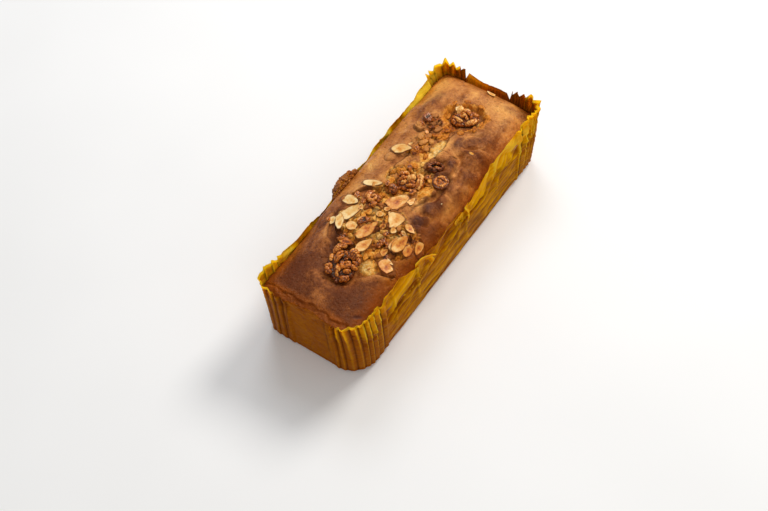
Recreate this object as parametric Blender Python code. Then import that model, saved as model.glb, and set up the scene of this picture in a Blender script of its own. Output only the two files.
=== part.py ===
"""Walnut pound cake, baked in a pleated paper loaf case and topped with walnuts and almond flakes.

The loaf lies along X with its far end at +X, and the long side that shows its wall is at -Y.
The origin is at the middle of the case's flat bottom. Sizes and places are in millimetres, and MM
turns them into metres when a mesh is made.
"""
import math

import bmesh
import bpy
import numpy as np
from mathutils import Matrix, Vector
from mathutils.bvhtree import BVHTree

MM = 0.001

# Driving dimensions of the cake, in millimetres.
CAKE_HALF_LENGTH = 105.2
CAKE_HALF_WIDTH = 36.4
WALL_FLARE = 0.6          # how much the walls widen from the bottom to FLARE_HEIGHT
FLARE_HEIGHT = 50.0
CROWN_HEIGHT = 59.5       # top of the dome at its highest place
CROWN_FALL = 3.5          # how much lower the ridge is at the ends of the dome
CROWN_PEAK_X = 5.0
DOME_SIDE_POWER = 2.3     # how squarely the dome falls to the sides, and how round its shoulder is
DOME_SIDE_ROUNDING = 0.62
DOME_END_POWER = 6
DOME_END_ROUNDING = 0.5
BOTTOM_ROUNDING = 1.6
# Corners in the order of the outline: name, direction along and across, radius.
CORNERS = (
    ("near_right", -1, -1, 18.0),
    ("far_right", 1, -1, 8.0),
    ("far_left", 1, 1, 10.0),
    ("near_left", -1, 1, 9.0),
)

# Height at which the crust meets the paper, one value for each side.
EDGE_NEAR = 49.0
EDGE_FAR = 43.0
EDGE_LEFT = 43.5
EDGE_RIGHT = 40.5
EDGE_END_POWER = 8        # how near the ends and the sides their own edge heights take over
EDGE_SIDE_POWER = 4

# The paper case.
PAPER = 0.5               # wall thickness of the solid
GAP = 0.35                # clearance between touching pieces
FOLD_HEIGHT = 3.0         # the wall turns into the bottom below this height
LEAN_START = 38.0         # above this height the paper stands free and leans

# Pleats at each corner: how far they reach before and after the corner's middle, and their count.
PLEAT_ZONES = (
    ("near_right", 15.0, 27.0, 9),
    ("far_right", 24.0, 20.0, 10),
    ("far_left", 15.0, 22.0, 9),
    ("near_left", 24.0, 21.0, 8),
)
PLEAT_DEPTH_RIM = 2.0
PLEAT_DEPTH_BASE = 0.9
PLEAT_FOOT = 0.3          # part of the pleats' depth that is left where they meet the bottom
PLEAT_POINTS = 4
PLAIN_STEP = 9.0          # spacing of the wall's points where it has no pleats

# The rim: side or corner, place along the side, height, and how far it leans outwards.
RIM = (
    ("near", 12.0, 54.5, 0.2),
    ("near", -6.0, 56.5, 0.0),
    ("near", -15.0, 53.0, 0.0),
    ("near_right", None, 57.5, 0.0),
    ("right", -84.0, 61.0, -1.0),
    ("right", -62.0, 56.5, -0.8),
    ("right", -44.0, 52.0, -0.2),
    ("right", -21.0, 49.0, 0.2),
    ("right", 27.0, 49.5, 0.2),
    ("right", 42.0, 54.5, -0.4),
    ("right", 62.0, 57.0, -0.8),
    ("right", 75.0, 54.5, -0.6),
    ("right", 88.0, 59.5, -1.0),
    ("far_right", None, 58.5, 0.4),
    ("far", -20.0, 53.0, 0.8),
    ("far", 5.0, 49.5, 1.0),
    ("far", 26.0, 53.5, 0.8),
    ("far_left", None, 58.0, 0.4),
    ("left", 92.0, 54.5, 1.6),
    ("left", 81.0, 52.0, 1.8),
    ("left", 70.0, 49.5, 1.2),
    ("left", 40.0, 50.0, 0.8),
    ("left", 7.0, 47.5, 0.8),
    ("left", -12.0, 51.0, 1.0),
    ("left", -27.0, 47.0, 0.8),
    ("left", -57.0, 48.0, 0.6),
    ("left", -81.0, 52.0, 0.6),
    ("near_left", None, 57.5, 0.6),
)

# The split along the top: its middle line, as places along the loaf, and its width and depth.
SPLIT_LINE = ((-72.0, -15.0), (-52.0, -15.0), (-36.0, -4.0), (-14.0, 0.0), (8.0, 2.0),
              (30.0, 3.0), (48.0, 1.0), (66.0, -2.0))
SPLIT_HALF_WIDTH = 5.5
SPLIT_DEPTH = 2.2
SPLIT_ENDS = 9.0

# Walnut pieces: name, place, size along, across and high, turn, and the depth of their pocket.
WALNUTS = (
    ("walnut_near", -67.0, 0.5, 26.0, 22.0, 10.0, 35.0, 7.0),
    ("walnut_middle", 7.0, -1.5, 20.0, 15.5, 8.5, -58.0, 4.5),
    ("walnut_middle_dark", -5.0, 3.5, 8.5, 7.5, 6.0, 20.0, 3.0),
    ("walnut_swirl", -16.5, 11.0, 11.5, 9.5, 5.5, -60.0, 3.2),
    ("walnut_burnt", 24.0, -9.5, 12.5, 7.5, 5.0, -60.0, 2.8),
    ("walnut_round", 16.5, -17.5, 9.5, 9.5, 5.0, 0.0, 3.0),
    ("walnut_granular", -42.5, -12.0, 9.5, 5.5, 4.5, -15.0, 2.0),
    ("walnut_far", 72.0, -1.5, 21.0, 15.0, 8.0, -50.0, 7.0),
)
POCKET_SPREAD = 1.25      # how much wider than the piece its pocket is
KERNEL_TOP = 0.62         # parts of a piece's height above and below its middle, and at its crest
KERNEL_BOTTOM = 0.32
KERNEL_CREST = 0.46
KERNEL_FOLD = 0.10        # depth of the folds across a piece, and how many cross its width
KERNEL_FOLD_WAVES = 2.2
KERNEL_GROOVE = 0.22      # depth and half width of the groove along its middle
KERNEL_GROOVE_WIDTH = 0.16
LARGE_KERNEL = 15.0       # pieces longer than this have more points and folds
LARGE_COUNTS = (22, 11, 5)    # points round a piece, rings over it and folds along it
SMALL_COUNTS = (16, 8, 3)

# Almond flakes, lowest first: name, place, length, width, heading and nose-up tilt in degrees.
FLAKES = (
    ("almond_flake_01", 25.5, 18.0, 14.5, 8.6, -80.0, 4.0),
    ("almond_flake_02", -7.5, 17.5, 15.0, 5.0, -81.0, 6.0),
    ("almond_flake_03", -25.0, 23.0, 14.5, 7.5, -98.0, 0.0),
    ("almond_flake_04", -33.5, 17.0, 15.0, 9.0, -30.0, 3.0),
    ("almond_flake_05", -44.5, 18.0, 14.5, 5.5, -145.0, 5.0),
    ("almond_flake_06", -42.5, 9.5, 9.0, 6.0, -84.0, 2.0),
    ("almond_flake_07", -50.0, -4.5, 13.0, 6.5, -18.0, 3.0),
    ("almond_flake_08", -40.5, 0.0, 17.0, 8.0, -22.0, 6.0),
    ("almond_flake_09", -53.5, 6.5, 12.0, 5.0, -95.0, 10.0),
    ("almond_flake_10", -12.5, -4.0, 17.0, 9.6, -31.0, 3.0),
    ("almond_flake_11", -24.5, -10.0, 12.8, 11.8, -54.0, 2.0),
    ("almond_flake_12", -38.5, -20.0, 12.0, 7.0, 4.0, 2.0),
    ("almond_flake_13", -36.0, -27.5, 10.5, 6.0, 0.0, 0.0),
    ("almond_flake_14", -37.0, -22.5, 14.5, 7.5, -6.0, 7.0),
    ("almond_flake_15", -29.5, -31.0, 10.5, 5.6, -156.0, 0.0),
    ("almond_flake_16", -54.5, -24.0, 11.5, 8.0, -113.0, 6.0),
    ("almond_flake_17", -24.0, -21.0, 8.0, 4.6, -102.0, 3.0),
)
FLAKE_THICKNESS = 1.1
FLAKE_CUP = 0.35          # how far the middle of a flake sinks below its edge
FLAKE_UNDERSIDE = 0.94    # size of a flake's lower face beside its upper one
FLAKE_POINT = 0.30        # how much narrower one end is than the other
FLAKE_POINTS = 16
FLAKE_SPAN = 0.8          # part of a flake's size over which it follows the slope of the dome
STEEPEST_FLAKE = 0.6      # in radians
FLAKE_START = 1.0         # height above the crust from which a flake is set down

CAKE_COLUMNS = 60
CAKE_ROWS = 20
END_CROWDING = 0.45       # how much closer the crust's points lie by the ends and by the sides
SIDE_CROWDING = 0.25
SEAT_STEP = 0.4           # spacing of the samples that find where a topping rests
SEAT_RAY_START = 100.0    # height above the whole loaf from which the samples look down
SHARP_BODY, SHARP_PAPER, SHARP_KERNEL, SHARP_FLAKE = 50.0, 25.0, 60.0, 40.0

# Colour and roughness of each material.
CRUST_LOOK = ((0.28, 0.105, 0.032), 0.62)
PAPER_LOOK = ((0.62, 0.33, 0.01), 0.55)
WALNUT_LOOK = ((0.20, 0.07, 0.02), 0.5)
ALMOND_LOOK = ((0.66, 0.38, 0.14), 0.5)


# ---------------------------------------------------------------- helpers

def clear_scene():
    for thing in list(bpy.data.objects):
        bpy.data.objects.remove(thing, do_unlink=True)


def make_material(name, look):
    material = bpy.data.materials.new(name)
    material.use_nodes = True
    shader = material.node_tree.nodes["Principled BSDF"]
    colour, roughness = look
    shader.inputs["Base Color"].default_value = (*colour, 1.0)
    shader.inputs["Roughness"].default_value = roughness
    return material


def make_object(name, vertices, faces, material, crease=SHARP_BODY):
    """An object from points in millimetres, with outward faces, smooth up to the crease angle."""
    body = bmesh.new()
    points = [body.verts.new((x * MM, y * MM, z * MM)) for x, y, z in vertices]
    for face in faces:
        body.faces.new([points[i] for i in face])
    bmesh.ops.recalc_face_normals(body, faces=body.faces)
    bmesh.ops.triangulate(body, faces=body.faces)
    mesh = bpy.data.meshes.new(name)
    body.to_mesh(mesh)
    body.free()
    mesh.shade_smooth()
    mesh.set_sharp_from_angle(angle=math.radians(crease))
    mesh.materials.append(material)
    thing = bpy.data.objects.new(name, mesh)
    bpy.context.scene.collection.objects.link(thing)
    return thing


def ease(t):
    t = min(max(t, 0.0), 1.0)
    return t * t * (3.0 - 2.0 * t)


# ---------------------------------------------------------------- outline of the loaf

def make_outline():
    """The outline's stretches from the near end's middle, going round by the right side: name,
    length, a straight's start or an arc's centre, heading or first angle in degrees, and radius."""
    points = []
    for name, along, across, radius in CORNERS:
        centre = (along * (CAKE_HALF_LENGTH - radius), across * (CAKE_HALF_WIDTH - radius))
        points.append((name, centre, radius))
    (_, near_right, r1), (_, far_right, r2), (_, far_left, r3), (_, near_left, r4) = points
    length, width = CAKE_HALF_LENGTH, CAKE_HALF_WIDTH
    return (
        ("near", -near_right[1], (-length, 0.0), -90.0, 0.0),
        ("near_right", 0.5 * math.pi * r1, near_right, 180.0, r1),
        ("right", far_right[0] - near_right[0], (near_right[0], -width), 0.0, 0.0),
        ("far_right", 0.5 * math.pi * r2, far_right, 270.0, r2),
        ("far", far_left[1] - far_right[1], (length, far_right[1]), 90.0, 0.0),
        ("far_left", 0.5 * math.pi * r3, far_left, 0.0, r3),
        ("left", far_left[0] - near_left[0], (far_left[0], width), 180.0, 0.0),
        ("near_left", 0.5 * math.pi * r4, near_left, 90.0, r4),
        ("near", near_left[1], (-length, near_left[1]), -90.0, 0.0),
    )


OUTLINE = make_outline()
PERIMETER = sum(stretch[1] for stretch in OUTLINE)


def outline(s, offset):
    """Point at distance s round the outline, moved outwards by offset."""
    s %= PERIMETER
    for _, length, place, angle, radius in OUTLINE:
        if s <= length:
            break
        s -= length
    if radius:
        angle = math.radians(angle) + s / radius
        reach = radius + offset
        return place[0] + reach * math.cos(angle), place[1] + reach * math.sin(angle)
    heading = math.radians(angle)
    return (place[0] + s * math.cos(heading) + offset * math.sin(heading),
            place[1] + s * math.sin(heading) - offset * math.cos(heading))


def place_round(name, along):
    """Distance round the outline of a corner's middle, or of a place along a side."""
    s = 0.0
    for stretch, length, place, angle, _ in OUTLINE:
        if stretch == name:
            if along is None:
                return s + 0.5 * length
            start = place[0] if stretch in ("right", "left") else place[1]
            ahead = (along - start) * (1.0 if angle in (0.0, 90.0) else -1.0)
            if 0.0 <= ahead <= length:
                return s + ahead
        s += length
    raise ValueError(name)


def flare(z):
    return WALL_FLARE * z / FLARE_HEIGHT


# ---------------------------------------------------------------- the cake

def edge_height(u, v):
    """Height of the crust's edge; u and v run from -1 to 1 along and across the loaf."""
    end = EDGE_NEAR if u < 0 else EDGE_FAR
    side = EDGE_LEFT if v > 0 else EDGE_RIGHT
    weight_end = abs(u) ** EDGE_END_POWER
    weight_side = abs(v) ** EDGE_SIDE_POWER
    middle = 0.5 * (EDGE_LEFT + EDGE_RIGHT)
    total = max(weight_end + weight_side, 1.0)
    return middle + (weight_end * (end - middle) + weight_side * (side - middle)) / total


def distance_to_split(x, y):
    """Distance from the split's middle line, and how far in from its ends the place is."""
    xs = [p[0] for p in SPLIT_LINE]
    middle = np.interp(x, xs, [p[1] for p in SPLIT_LINE])
    return abs(y - middle), min(x - xs[0], xs[-1] - x)


def pocket(x, y, walnut):
    """Depth of the pocket that a walnut piece sits in."""
    _, cx, cy, along, across, _, turn, depth = walnut
    angle = math.radians(turn)
    p = ((x - cx) * math.cos(angle) + (y - cy) * math.sin(angle)) / (0.5 * along)
    q = ((y - cy) * math.cos(angle) - (x - cx) * math.sin(angle)) / (0.5 * across)
    return depth * math.exp(-((p * p + q * q) / POCKET_SPREAD ** 2) ** 2)


def dome_height(x, y):
    """Height of the cake's plain dome."""
    u = x / CAKE_HALF_LENGTH
    v = y / CAKE_HALF_WIDTH
    edge = edge_height(u, v)
    crown = CROWN_HEIGHT - CROWN_FALL * (u - CROWN_PEAK_X / CAKE_HALF_LENGTH) ** 2
    across = max(1.0 - abs(v) ** DOME_SIDE_POWER, 0.0) ** DOME_SIDE_ROUNDING
    along = max(1.0 - abs(u) ** DOME_END_POWER, 0.0) ** DOME_END_ROUNDING
    return edge + (crown - edge) * across * along


def crust_height(x, y):
    """Height of the cake's top: the dome with its split and the walnuts' pockets."""
    away, inside = distance_to_split(x, y)
    split = SPLIT_DEPTH * math.exp(-(away / SPLIT_HALF_WIDTH) ** 2) * ease(inside / SPLIT_ENDS)
    return dome_height(x, y) - split - max(pocket(x, y, walnut) for walnut in WALNUTS)


def reach_at(x, across, extra):
    """Distance from the middle line to the outline, on the left (1) or right (-1), at a place x."""
    along = 1 if x > 0 else -1
    radius = next(r for _, a, c, r in CORNERS if (a, c) == (along, across)) + extra
    past = max(abs(x) - (CAKE_HALF_LENGTH + extra - radius), 0.0)
    return CAKE_HALF_WIDTH + extra - radius + math.sqrt(max(radius * radius - past * past, 0.0))


def crowd(t, amount):
    """A place from -1 to 1 moved towards the nearer end."""
    return (1.0 - amount) * t + amount * math.sin(0.5 * math.pi * t)


def make_cake(material):
    extra = flare(EDGE_RIGHT)
    half_length = CAKE_HALF_LENGTH + extra
    half_width = CAKE_HALF_WIDTH + extra
    vertices = []
    for i in range(CAKE_COLUMNS + 1):
        x = half_length * crowd(2.0 * i / CAKE_COLUMNS - 1.0, END_CROWDING)
        low, high = -reach_at(x, -1, extra), reach_at(x, 1, extra)
        for j in range(CAKE_ROWS + 1):
            w = crowd(2.0 * j / CAKE_ROWS - 1.0, SIDE_CROWDING)
            y = 0.5 * (low + high) + 0.5 * (high - low) * w
            z = crust_height(x * CAKE_HALF_LENGTH / half_length, y * CAKE_HALF_WIDTH / half_width)
            vertices.append((x, y, z))
    stride = CAKE_ROWS + 1
    faces = [(i * stride + j, (i + 1) * stride + j, (i + 1) * stride + j + 1, i * stride + j + 1)
             for i in range(CAKE_COLUMNS) for j in range(CAKE_ROWS)]
    rim = [j for j in range(CAKE_ROWS, 0, -1)]
    rim += [i * stride for i in range(CAKE_COLUMNS)]
    rim += [CAKE_COLUMNS * stride + j for j in range(CAKE_ROWS)]
    rim += [i * stride + CAKE_ROWS for i in range(CAKE_COLUMNS, 0, -1)]
    bottom = PAPER + GAP
    previous = rim
    for z, inset in ((FOLD_HEIGHT, 0.0), (bottom, BOTTOM_ROUNDING)):
        shrink = extra - flare(z) + inset
        ring = []
        for index in rim:
            x, y, _ = vertices[index]
            ring.append(len(vertices))
            vertices.append((x * (1.0 - shrink / half_length), y * (1.0 - shrink / half_width), z))
        count = len(rim)
        faces += [(previous[k], previous[(k + 1) % count], ring[(k + 1) % count], ring[k])
                  for k in range(count)]
        previous = ring
    faces.append(tuple(previous))
    return make_object("cake", vertices, faces, material)


# ---------------------------------------------------------------- the paper case

RIM_PLACES = [place_round(name, along) for name, along, _, _ in RIM]


def rim_value(s, column):
    """The rim's height (column 2) or lean (column 3), eased from one named place to the next."""
    s %= PERIMETER
    places = sorted((place, entry[column]) for place, entry in zip(RIM_PLACES, RIM))
    before = [(place - PERIMETER, value) for place, value in places[-1:]]
    after = [(place + PERIMETER, value) for place, value in places[:1]]
    ring = before + places + after
    for (start, first), (end, second) in zip(ring[:-1], ring[1:]):
        if s <= end:
            break
    return first + (second - first) * ease((s - start) / (end - start))


def wall_points():
    """Distances round the outline for the wall's points, with the pleat height of each, 0 to 1."""
    points = []
    spans = []
    for corner, before, after, count in PLEAT_ZONES:
        middle = place_round(corner, None)
        start, end = middle - before, middle + after
        spans.append((start, end))
        steps = count * PLEAT_POINTS
        for k in range(steps + 1):
            phase = (k % PLEAT_POINTS) / PLEAT_POINTS
            points.append((start + (end - start) * k / steps, 1.0 - abs(2.0 * phase - 1.0)))
    for (_, start), (end, _) in zip(spans, spans[1:] + spans[:1]):
        end += PERIMETER if end < start else 0.0
        steps = round((end - start) / PLAIN_STEP)
        points += [((start + (end - start) * k / steps) % PERIMETER, 0.0) for k in range(1, steps)]
    return sorted(points)


def make_paper_case(material):
    points = wall_points()
    count = len(points)
    levels = ((0.0, -BOTTOM_ROUNDING), (FOLD_HEIGHT, 0.0), (LEAN_START, 0.0), (None, 0.0))
    vertices = []

    def ring(level, inset, skin):
        """One ring of the wall; skin is 0 for its inner face and PAPER for its outer face."""
        indices = []
        for s, pleat in points:
            top = rim_value(s, 2)
            z = top if level is None else level
            if level == 0.0:
                z = PAPER - skin
            depth = PLEAT_DEPTH_BASE + (PLEAT_DEPTH_RIM - PLEAT_DEPTH_BASE) * z / top
            lean = rim_value(s, 3) * ease((z - LEAN_START) / (top - LEAN_START))
            offset = flare(z) + GAP + skin + lean + inset + depth * pleat
            if level == 0.0:
                offset = flare(z) + GAP + inset + PLEAT_FOOT * depth * pleat
            x, y = outline(s, offset)
            indices.append(len(vertices))
            vertices.append((x, y, z))
        return indices

    outer = [ring(level, inset, PAPER) for level, inset in levels]
    inner = [ring(level, inset, 0.0) for level, inset in levels]
    faces = []
    for lower, upper in zip(outer[:-1], outer[1:]):
        faces += [(lower[k], lower[(k + 1) % count], upper[(k + 1) % count], upper[k])
                  for k in range(count)]
    for lower, upper in zip(inner[:-1], inner[1:]):
        faces += [(lower[k], upper[k], upper[(k + 1) % count], lower[(k + 1) % count])
                  for k in range(count)]
    faces += [(outer[-1][k], outer[-1][(k + 1) % count], inner[-1][(k + 1) % count], inner[-1][k])
              for k in range(count)]
    faces.append(tuple(reversed(outer[0])))
    faces.append(tuple(inner[0]))
    return make_object("paper_case", vertices, faces, material, crease=SHARP_PAPER)


# ---------------------------------------------------------------- toppings

def make_walnut(walnut, material):
    """A walnut piece: an oval kernel with a groove along its middle and folds across it."""
    name, x, y, along, across, high, turn, _ = walnut
    segments, rings, folds = LARGE_COUNTS if along > LARGE_KERNEL else SMALL_COUNTS
    vertices = [(0.0, 0.0, -KERNEL_BOTTOM * high)]
    for i in range(1, rings):
        tip = math.pi * i / rings
        for k in range(segments):
            angle = 2.0 * math.pi * k / segments
            p, q = math.sin(tip) * math.cos(angle), math.sin(tip) * math.sin(angle)
            r = -math.cos(tip)
            fold = KERNEL_FOLD * math.sin(folds * math.pi * p) * math.cos(KERNEL_FOLD_WAVES * math.pi * q)
            groove = KERNEL_GROOVE * math.exp(-(q / KERNEL_GROOVE_WIDTH) ** 2) if r > 0 else 0.0
            swell = 1.0 + fold - groove
            height = high * (KERNEL_TOP if r > 0 else KERNEL_BOTTOM)
            vertices.append((0.5 * along * p * swell, 0.5 * across * q * swell, height * r * swell))
    vertices.append((0.0, 0.0, KERNEL_CREST * high))
    faces = []
    for k in range(segments):
        following = (k + 1) % segments
        faces.append((0, 1 + following, 1 + k))
        for i in range(rings - 2):
            lower, upper = 1 + i * segments, 1 + (i + 1) * segments
            faces.append((lower + k, lower + following, upper + following, upper + k))
        last = 1 + (rings - 2) * segments
        faces.append((last + k, last + following, len(vertices) - 1))
    thing = make_object(name, vertices, faces, material, crease=SHARP_KERNEL)
    thing.location = Vector((x, y, crust_height(x, y))) * MM
    thing.rotation_euler = (0.0, 0.0, math.radians(turn))
    return thing


def tilt_along(x, y, direction, span, extra):
    """The dome's slope in a direction over a span, with an extra tilt, in radians."""
    ahead = dome_height(x + 0.5 * span * direction[0], y + 0.5 * span * direction[1])
    behind = dome_height(x - 0.5 * span * direction[0], y - 0.5 * span * direction[1])
    slope = math.atan2(ahead - behind, span) + extra
    return min(max(slope, -STEEPEST_FLAKE), STEEPEST_FLAKE)


def make_flake(flake, material):
    """An almond flake: a thin oval slice with one pointed end and a slightly sunken middle."""
    name, x, y, length, width, heading, tilt = flake
    vertices = []
    for z, inset in ((0.0, FLAKE_UNDERSIDE), (FLAKE_THICKNESS, 1.0)):
        vertices.append((0.0, 0.0, z - FLAKE_CUP))
        for k in range(FLAKE_POINTS):
            angle = 2.0 * math.pi * k / FLAKE_POINTS
            across = math.sin(angle) * (1.0 - FLAKE_POINT * math.cos(angle))
            vertices.append((0.5 * length * inset * math.cos(angle), 0.5 * width * inset * across, z))
    faces = []
    above = FLAKE_POINTS + 1
    for k in range(FLAKE_POINTS):
        here, following = 1 + k, 1 + (k + 1) % FLAKE_POINTS
        faces.append((0, following, here))
        faces.append((above, above + here, above + following))
        faces.append((here, following, above + following, above + here))
    thing = make_object(name, vertices, faces, material, crease=SHARP_FLAKE)
    turn = math.radians(heading)
    forward = (math.cos(turn), math.sin(turn))
    sideways = (-math.sin(turn), math.cos(turn))
    pitch = -tilt_along(x, y, forward, FLAKE_SPAN * length, math.radians(tilt))
    roll = tilt_along(x, y, sideways, FLAKE_SPAN * width, 0.0)
    thing.rotation_mode = "XYZ"
    thing.rotation_euler = (
        Matrix.Rotation(turn, 3, "Z") @ Matrix.Rotation(pitch, 3, "Y") @ Matrix.Rotation(roll, 3, "X")
    ).to_euler("XYZ")
    thing.location = Vector((x, y, crust_height(x, y) + FLAKE_START)) * MM
    return thing


def world_tree(thing):
    """A search tree of an object's triangles where the object now lies."""
    place = Matrix.LocRotScale(thing.location, thing.rotation_euler, None)
    points = [place @ vertex.co for vertex in thing.data.vertices]
    triangles = [tuple(face.vertices) for face in thing.data.polygons]
    return BVHTree.FromPolygons(points, triangles), points


def seat(thing, ground):
    """Set a topping down until it almost touches what lies below it."""
    tree, points = world_tree(thing)
    low = [min(p[axis] for p in points) for axis in range(2)]
    high = [max(p[axis] for p in points) for axis in range(2)]
    step = SEAT_STEP * MM
    lifts = []
    for x in np.arange(low[0], high[0] + step, step):
        for y in np.arange(low[1], high[1] + step, step):
            under = tree.ray_cast(Vector((x, y, 0.0)), Vector((0.0, 0.0, 1.0)))[0]
            if under is None:
                continue
            start = Vector((x, y, SEAT_RAY_START * MM))
            hits = [below.ray_cast(start, Vector((0.0, 0.0, -1.0)))[0] for below in ground]
            lifts += [hit.z - under.z for hit in hits if hit is not None]
    thing.location.z += max(lifts) + GAP * MM
    ground.append(world_tree(thing)[0])


def main():
    clear_scene()
    crust = make_material("crust", CRUST_LOOK)
    paper = make_material("paper", PAPER_LOOK)
    walnut_skin = make_material("walnut", WALNUT_LOOK)
    almond = make_material("almond", ALMOND_LOOK)
    cake = make_cake(crust)
    make_paper_case(paper)
    ground = [world_tree(cake)[0]]
    for walnut in WALNUTS:
        seat(make_walnut(walnut, walnut_skin), ground)
    for flake in FLAKES:
        seat(make_flake(flake, almond), ground)


main()
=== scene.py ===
import itertools
import math

import bmesh
import bpy
import numpy as np
from mathutils import Matrix, Vector


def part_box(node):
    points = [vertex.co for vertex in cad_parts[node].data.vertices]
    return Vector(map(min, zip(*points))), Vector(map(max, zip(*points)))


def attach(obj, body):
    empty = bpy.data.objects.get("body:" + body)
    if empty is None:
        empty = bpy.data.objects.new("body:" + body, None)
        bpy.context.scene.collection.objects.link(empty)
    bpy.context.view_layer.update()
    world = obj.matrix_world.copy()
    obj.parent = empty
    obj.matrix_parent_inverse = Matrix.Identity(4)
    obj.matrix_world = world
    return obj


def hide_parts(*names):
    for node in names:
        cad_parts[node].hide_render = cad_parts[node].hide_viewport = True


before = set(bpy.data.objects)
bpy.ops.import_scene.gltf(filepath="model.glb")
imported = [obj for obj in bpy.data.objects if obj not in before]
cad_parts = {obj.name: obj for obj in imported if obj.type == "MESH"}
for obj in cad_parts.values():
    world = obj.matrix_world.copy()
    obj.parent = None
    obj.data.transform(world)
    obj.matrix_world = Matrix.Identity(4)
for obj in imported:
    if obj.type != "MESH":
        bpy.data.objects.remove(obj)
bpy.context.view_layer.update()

MM = 0.001
TURN = 2.0 * math.pi

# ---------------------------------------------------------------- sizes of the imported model

# The outline at the base: half sizes, and each corner's side along X and Y and its radius.
HALF_LENGTH = 105.2
HALF_WIDTH = 36.4
CORNERS = (("near_right", -1, -1, 18.0), ("far_right", 1, -1, 8.0),
           ("far_left", 1, 1, 10.0), ("near_left", -1, 1, 9.0))
# How far the walls lean out at a height.
WALL_FLARE = 0.6
FLARE_HEIGHT = 50.0
# Heights of the crust: its crown, and where it meets the walls.
CROWN_HEIGHT = 59.5
CROWN_FALL = 3.5
CROWN_PEAK_X = 5.0
EDGE_NEAR, EDGE_FAR, EDGE_LEFT, EDGE_RIGHT = 49.0, 43.0, 43.5, 40.5
# The shallow split along the top: points along its middle, half width, depth, and how far its ends
# take to run out.
SPLIT_LINE = ((-72.0, -15.0), (-52.0, -15.0), (-36.0, -4.0), (-14.0, 0.0), (8.0, 2.0),
              (30.0, 3.0), (48.0, 1.0), (66.0, -2.0))
SPLIT_HALF_WIDTH = 5.5
SPLIT_DEPTH = 2.2
SPLIT_ENDS = 9.0
# Hollows for the walnuts: node, place, size along and across, turn and depth. They spread wider than
# their walnuts by the factor below.
POCKETS = (
    ("walnut_near", -67.0, 0.5, 26.0, 22.0, 35.0, 7.0),
    ("walnut_middle", 7.0, -1.5, 20.0, 15.5, -58.0, 4.5),
    ("walnut_middle_dark", -5.0, 3.5, 8.5, 7.5, 20.0, 3.0),
    ("walnut_swirl", -16.5, 11.0, 11.5, 9.5, -60.0, 3.2),
    ("walnut_burnt", 24.0, -9.5, 12.5, 7.5, -60.0, 2.8),
    ("walnut_round", 16.5, -17.5, 9.5, 9.5, 0.0, 3.0),
    ("walnut_granular", -42.5, -12.0, 9.5, 5.5, -15.0, 2.0),
    ("walnut_far", 72.0, -1.5, 21.0, 15.0, -50.0, 7.0),
)
POCKET_SPREAD = 1.25
# Almond flakes: number, length, width, heading, toast from 0 pale to 1 brown, how much browner the
# pointed end is than the blunt one, and where an end is broken off, as a part of its half length,
# above 0 at the pointed end and below 0 at the blunt one.
FLAKES = (
    (1, 14.5, 8.6, -80.0, 0.36, 0.10, 0.0), (2, 15.0, 5.0, -81.0, 0.12, 0.05, 0.0),
    (3, 14.5, 7.5, -98.0, 0.24, 0.0, -0.8), (4, 15.0, 9.0, -30.0, 0.16, 0.10, 0.0),
    (5, 14.5, 5.5, -145.0, 0.22, -0.1, 0.0), (6, 9.0, 6.0, -84.0, 0.38, 0.1, 0.7),
    (7, 13.0, 6.5, -18.0, 0.46, 0.1, 0.0), (8, 17.0, 8.0, -22.0, 0.62, 0.16, 0.0),
    (9, 12.0, 5.0, -95.0, 0.86, 0.1, 0.0), (10, 17.0, 9.6, -31.0, 0.58, -0.1, -0.85),
    (11, 12.8, 11.8, -54.0, 0.34, 0.1, -0.62), (12, 12.0, 7.0, 4.0, 0.50, 0.0, 0.75),
    (13, 10.5, 6.0, 0.0, 0.64, 0.0, 0.6), (14, 14.5, 7.5, -6.0, 0.56, 0.15, 0.0),
    (15, 10.5, 5.6, -156.0, 0.62, 0.0, -0.7), (16, 11.5, 8.0, -113.0, 0.60, 0.1, 0.65),
    (17, 8.0, 4.6, -102.0, 0.48, 0.0, 0.0),
)
# The rim of the case: side, place along it or None for a corner's middle, its height there and how
# far it leans out. The next tables give their sides and places in the same way.
RIM = (
    ("near", 12.0, 54.5, 0.2), ("near", -6.0, 56.5, 0.0), ("near", -15.0, 53.0, 0.0),
    ("near_right", None, 57.5, 0.0),
    ("right", -84.0, 61.0, -1.0), ("right", -62.0, 56.5, -0.8), ("right", -44.0, 52.0, -0.2),
    ("right", -21.0, 49.0, 0.2), ("right", 27.0, 49.5, 0.2), ("right", 42.0, 54.5, -0.4),
    ("right", 62.0, 57.0, -0.8), ("right", 75.0, 54.5, -0.6), ("right", 88.0, 59.5, -1.0),
    ("far_right", None, 58.5, 0.4),
    ("far", -20.0, 53.0, 0.8), ("far", 5.0, 49.5, 1.0), ("far", 26.0, 53.5, 0.8),
    ("far_left", None, 58.0, 0.4),
    ("left", 92.0, 51.5, 3.2), ("left", 81.0, 48.8, 3.4), ("left", 70.0, 47.5, 2.4),
    ("left", 40.0, 49.5, 1.4), ("left", 7.0, 47.5, 0.8), ("left", -12.0, 51.0, 1.0),
    ("left", -27.0, 47.0, 0.8), ("left", -57.0, 48.0, 0.6), ("left", -81.0, 52.0, 0.6),
    ("near_left", None, 57.5, 0.6),
)
# Pleats at each corner: how far they reach before and after its middle, their count, their depth at
# the rim, how far their tops sweep along the outline, and how tall the first and last tips are.
PLEATS = (
    ("near_right", 15.0, 27.0, 9, 3.6, -3.2, 1.4, 6.0),
    ("far_right", 24.0, 20.0, 10, 3.8, 1.4, 1.0, 1.8),
    ("far_left", 15.0, 14.0, 7, 2.8, 0.6, 1.7, 1.5),
    ("near_left", 24.0, 21.0, 8, 2.3, 0.8, 0.7, 0.9),
)
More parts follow.
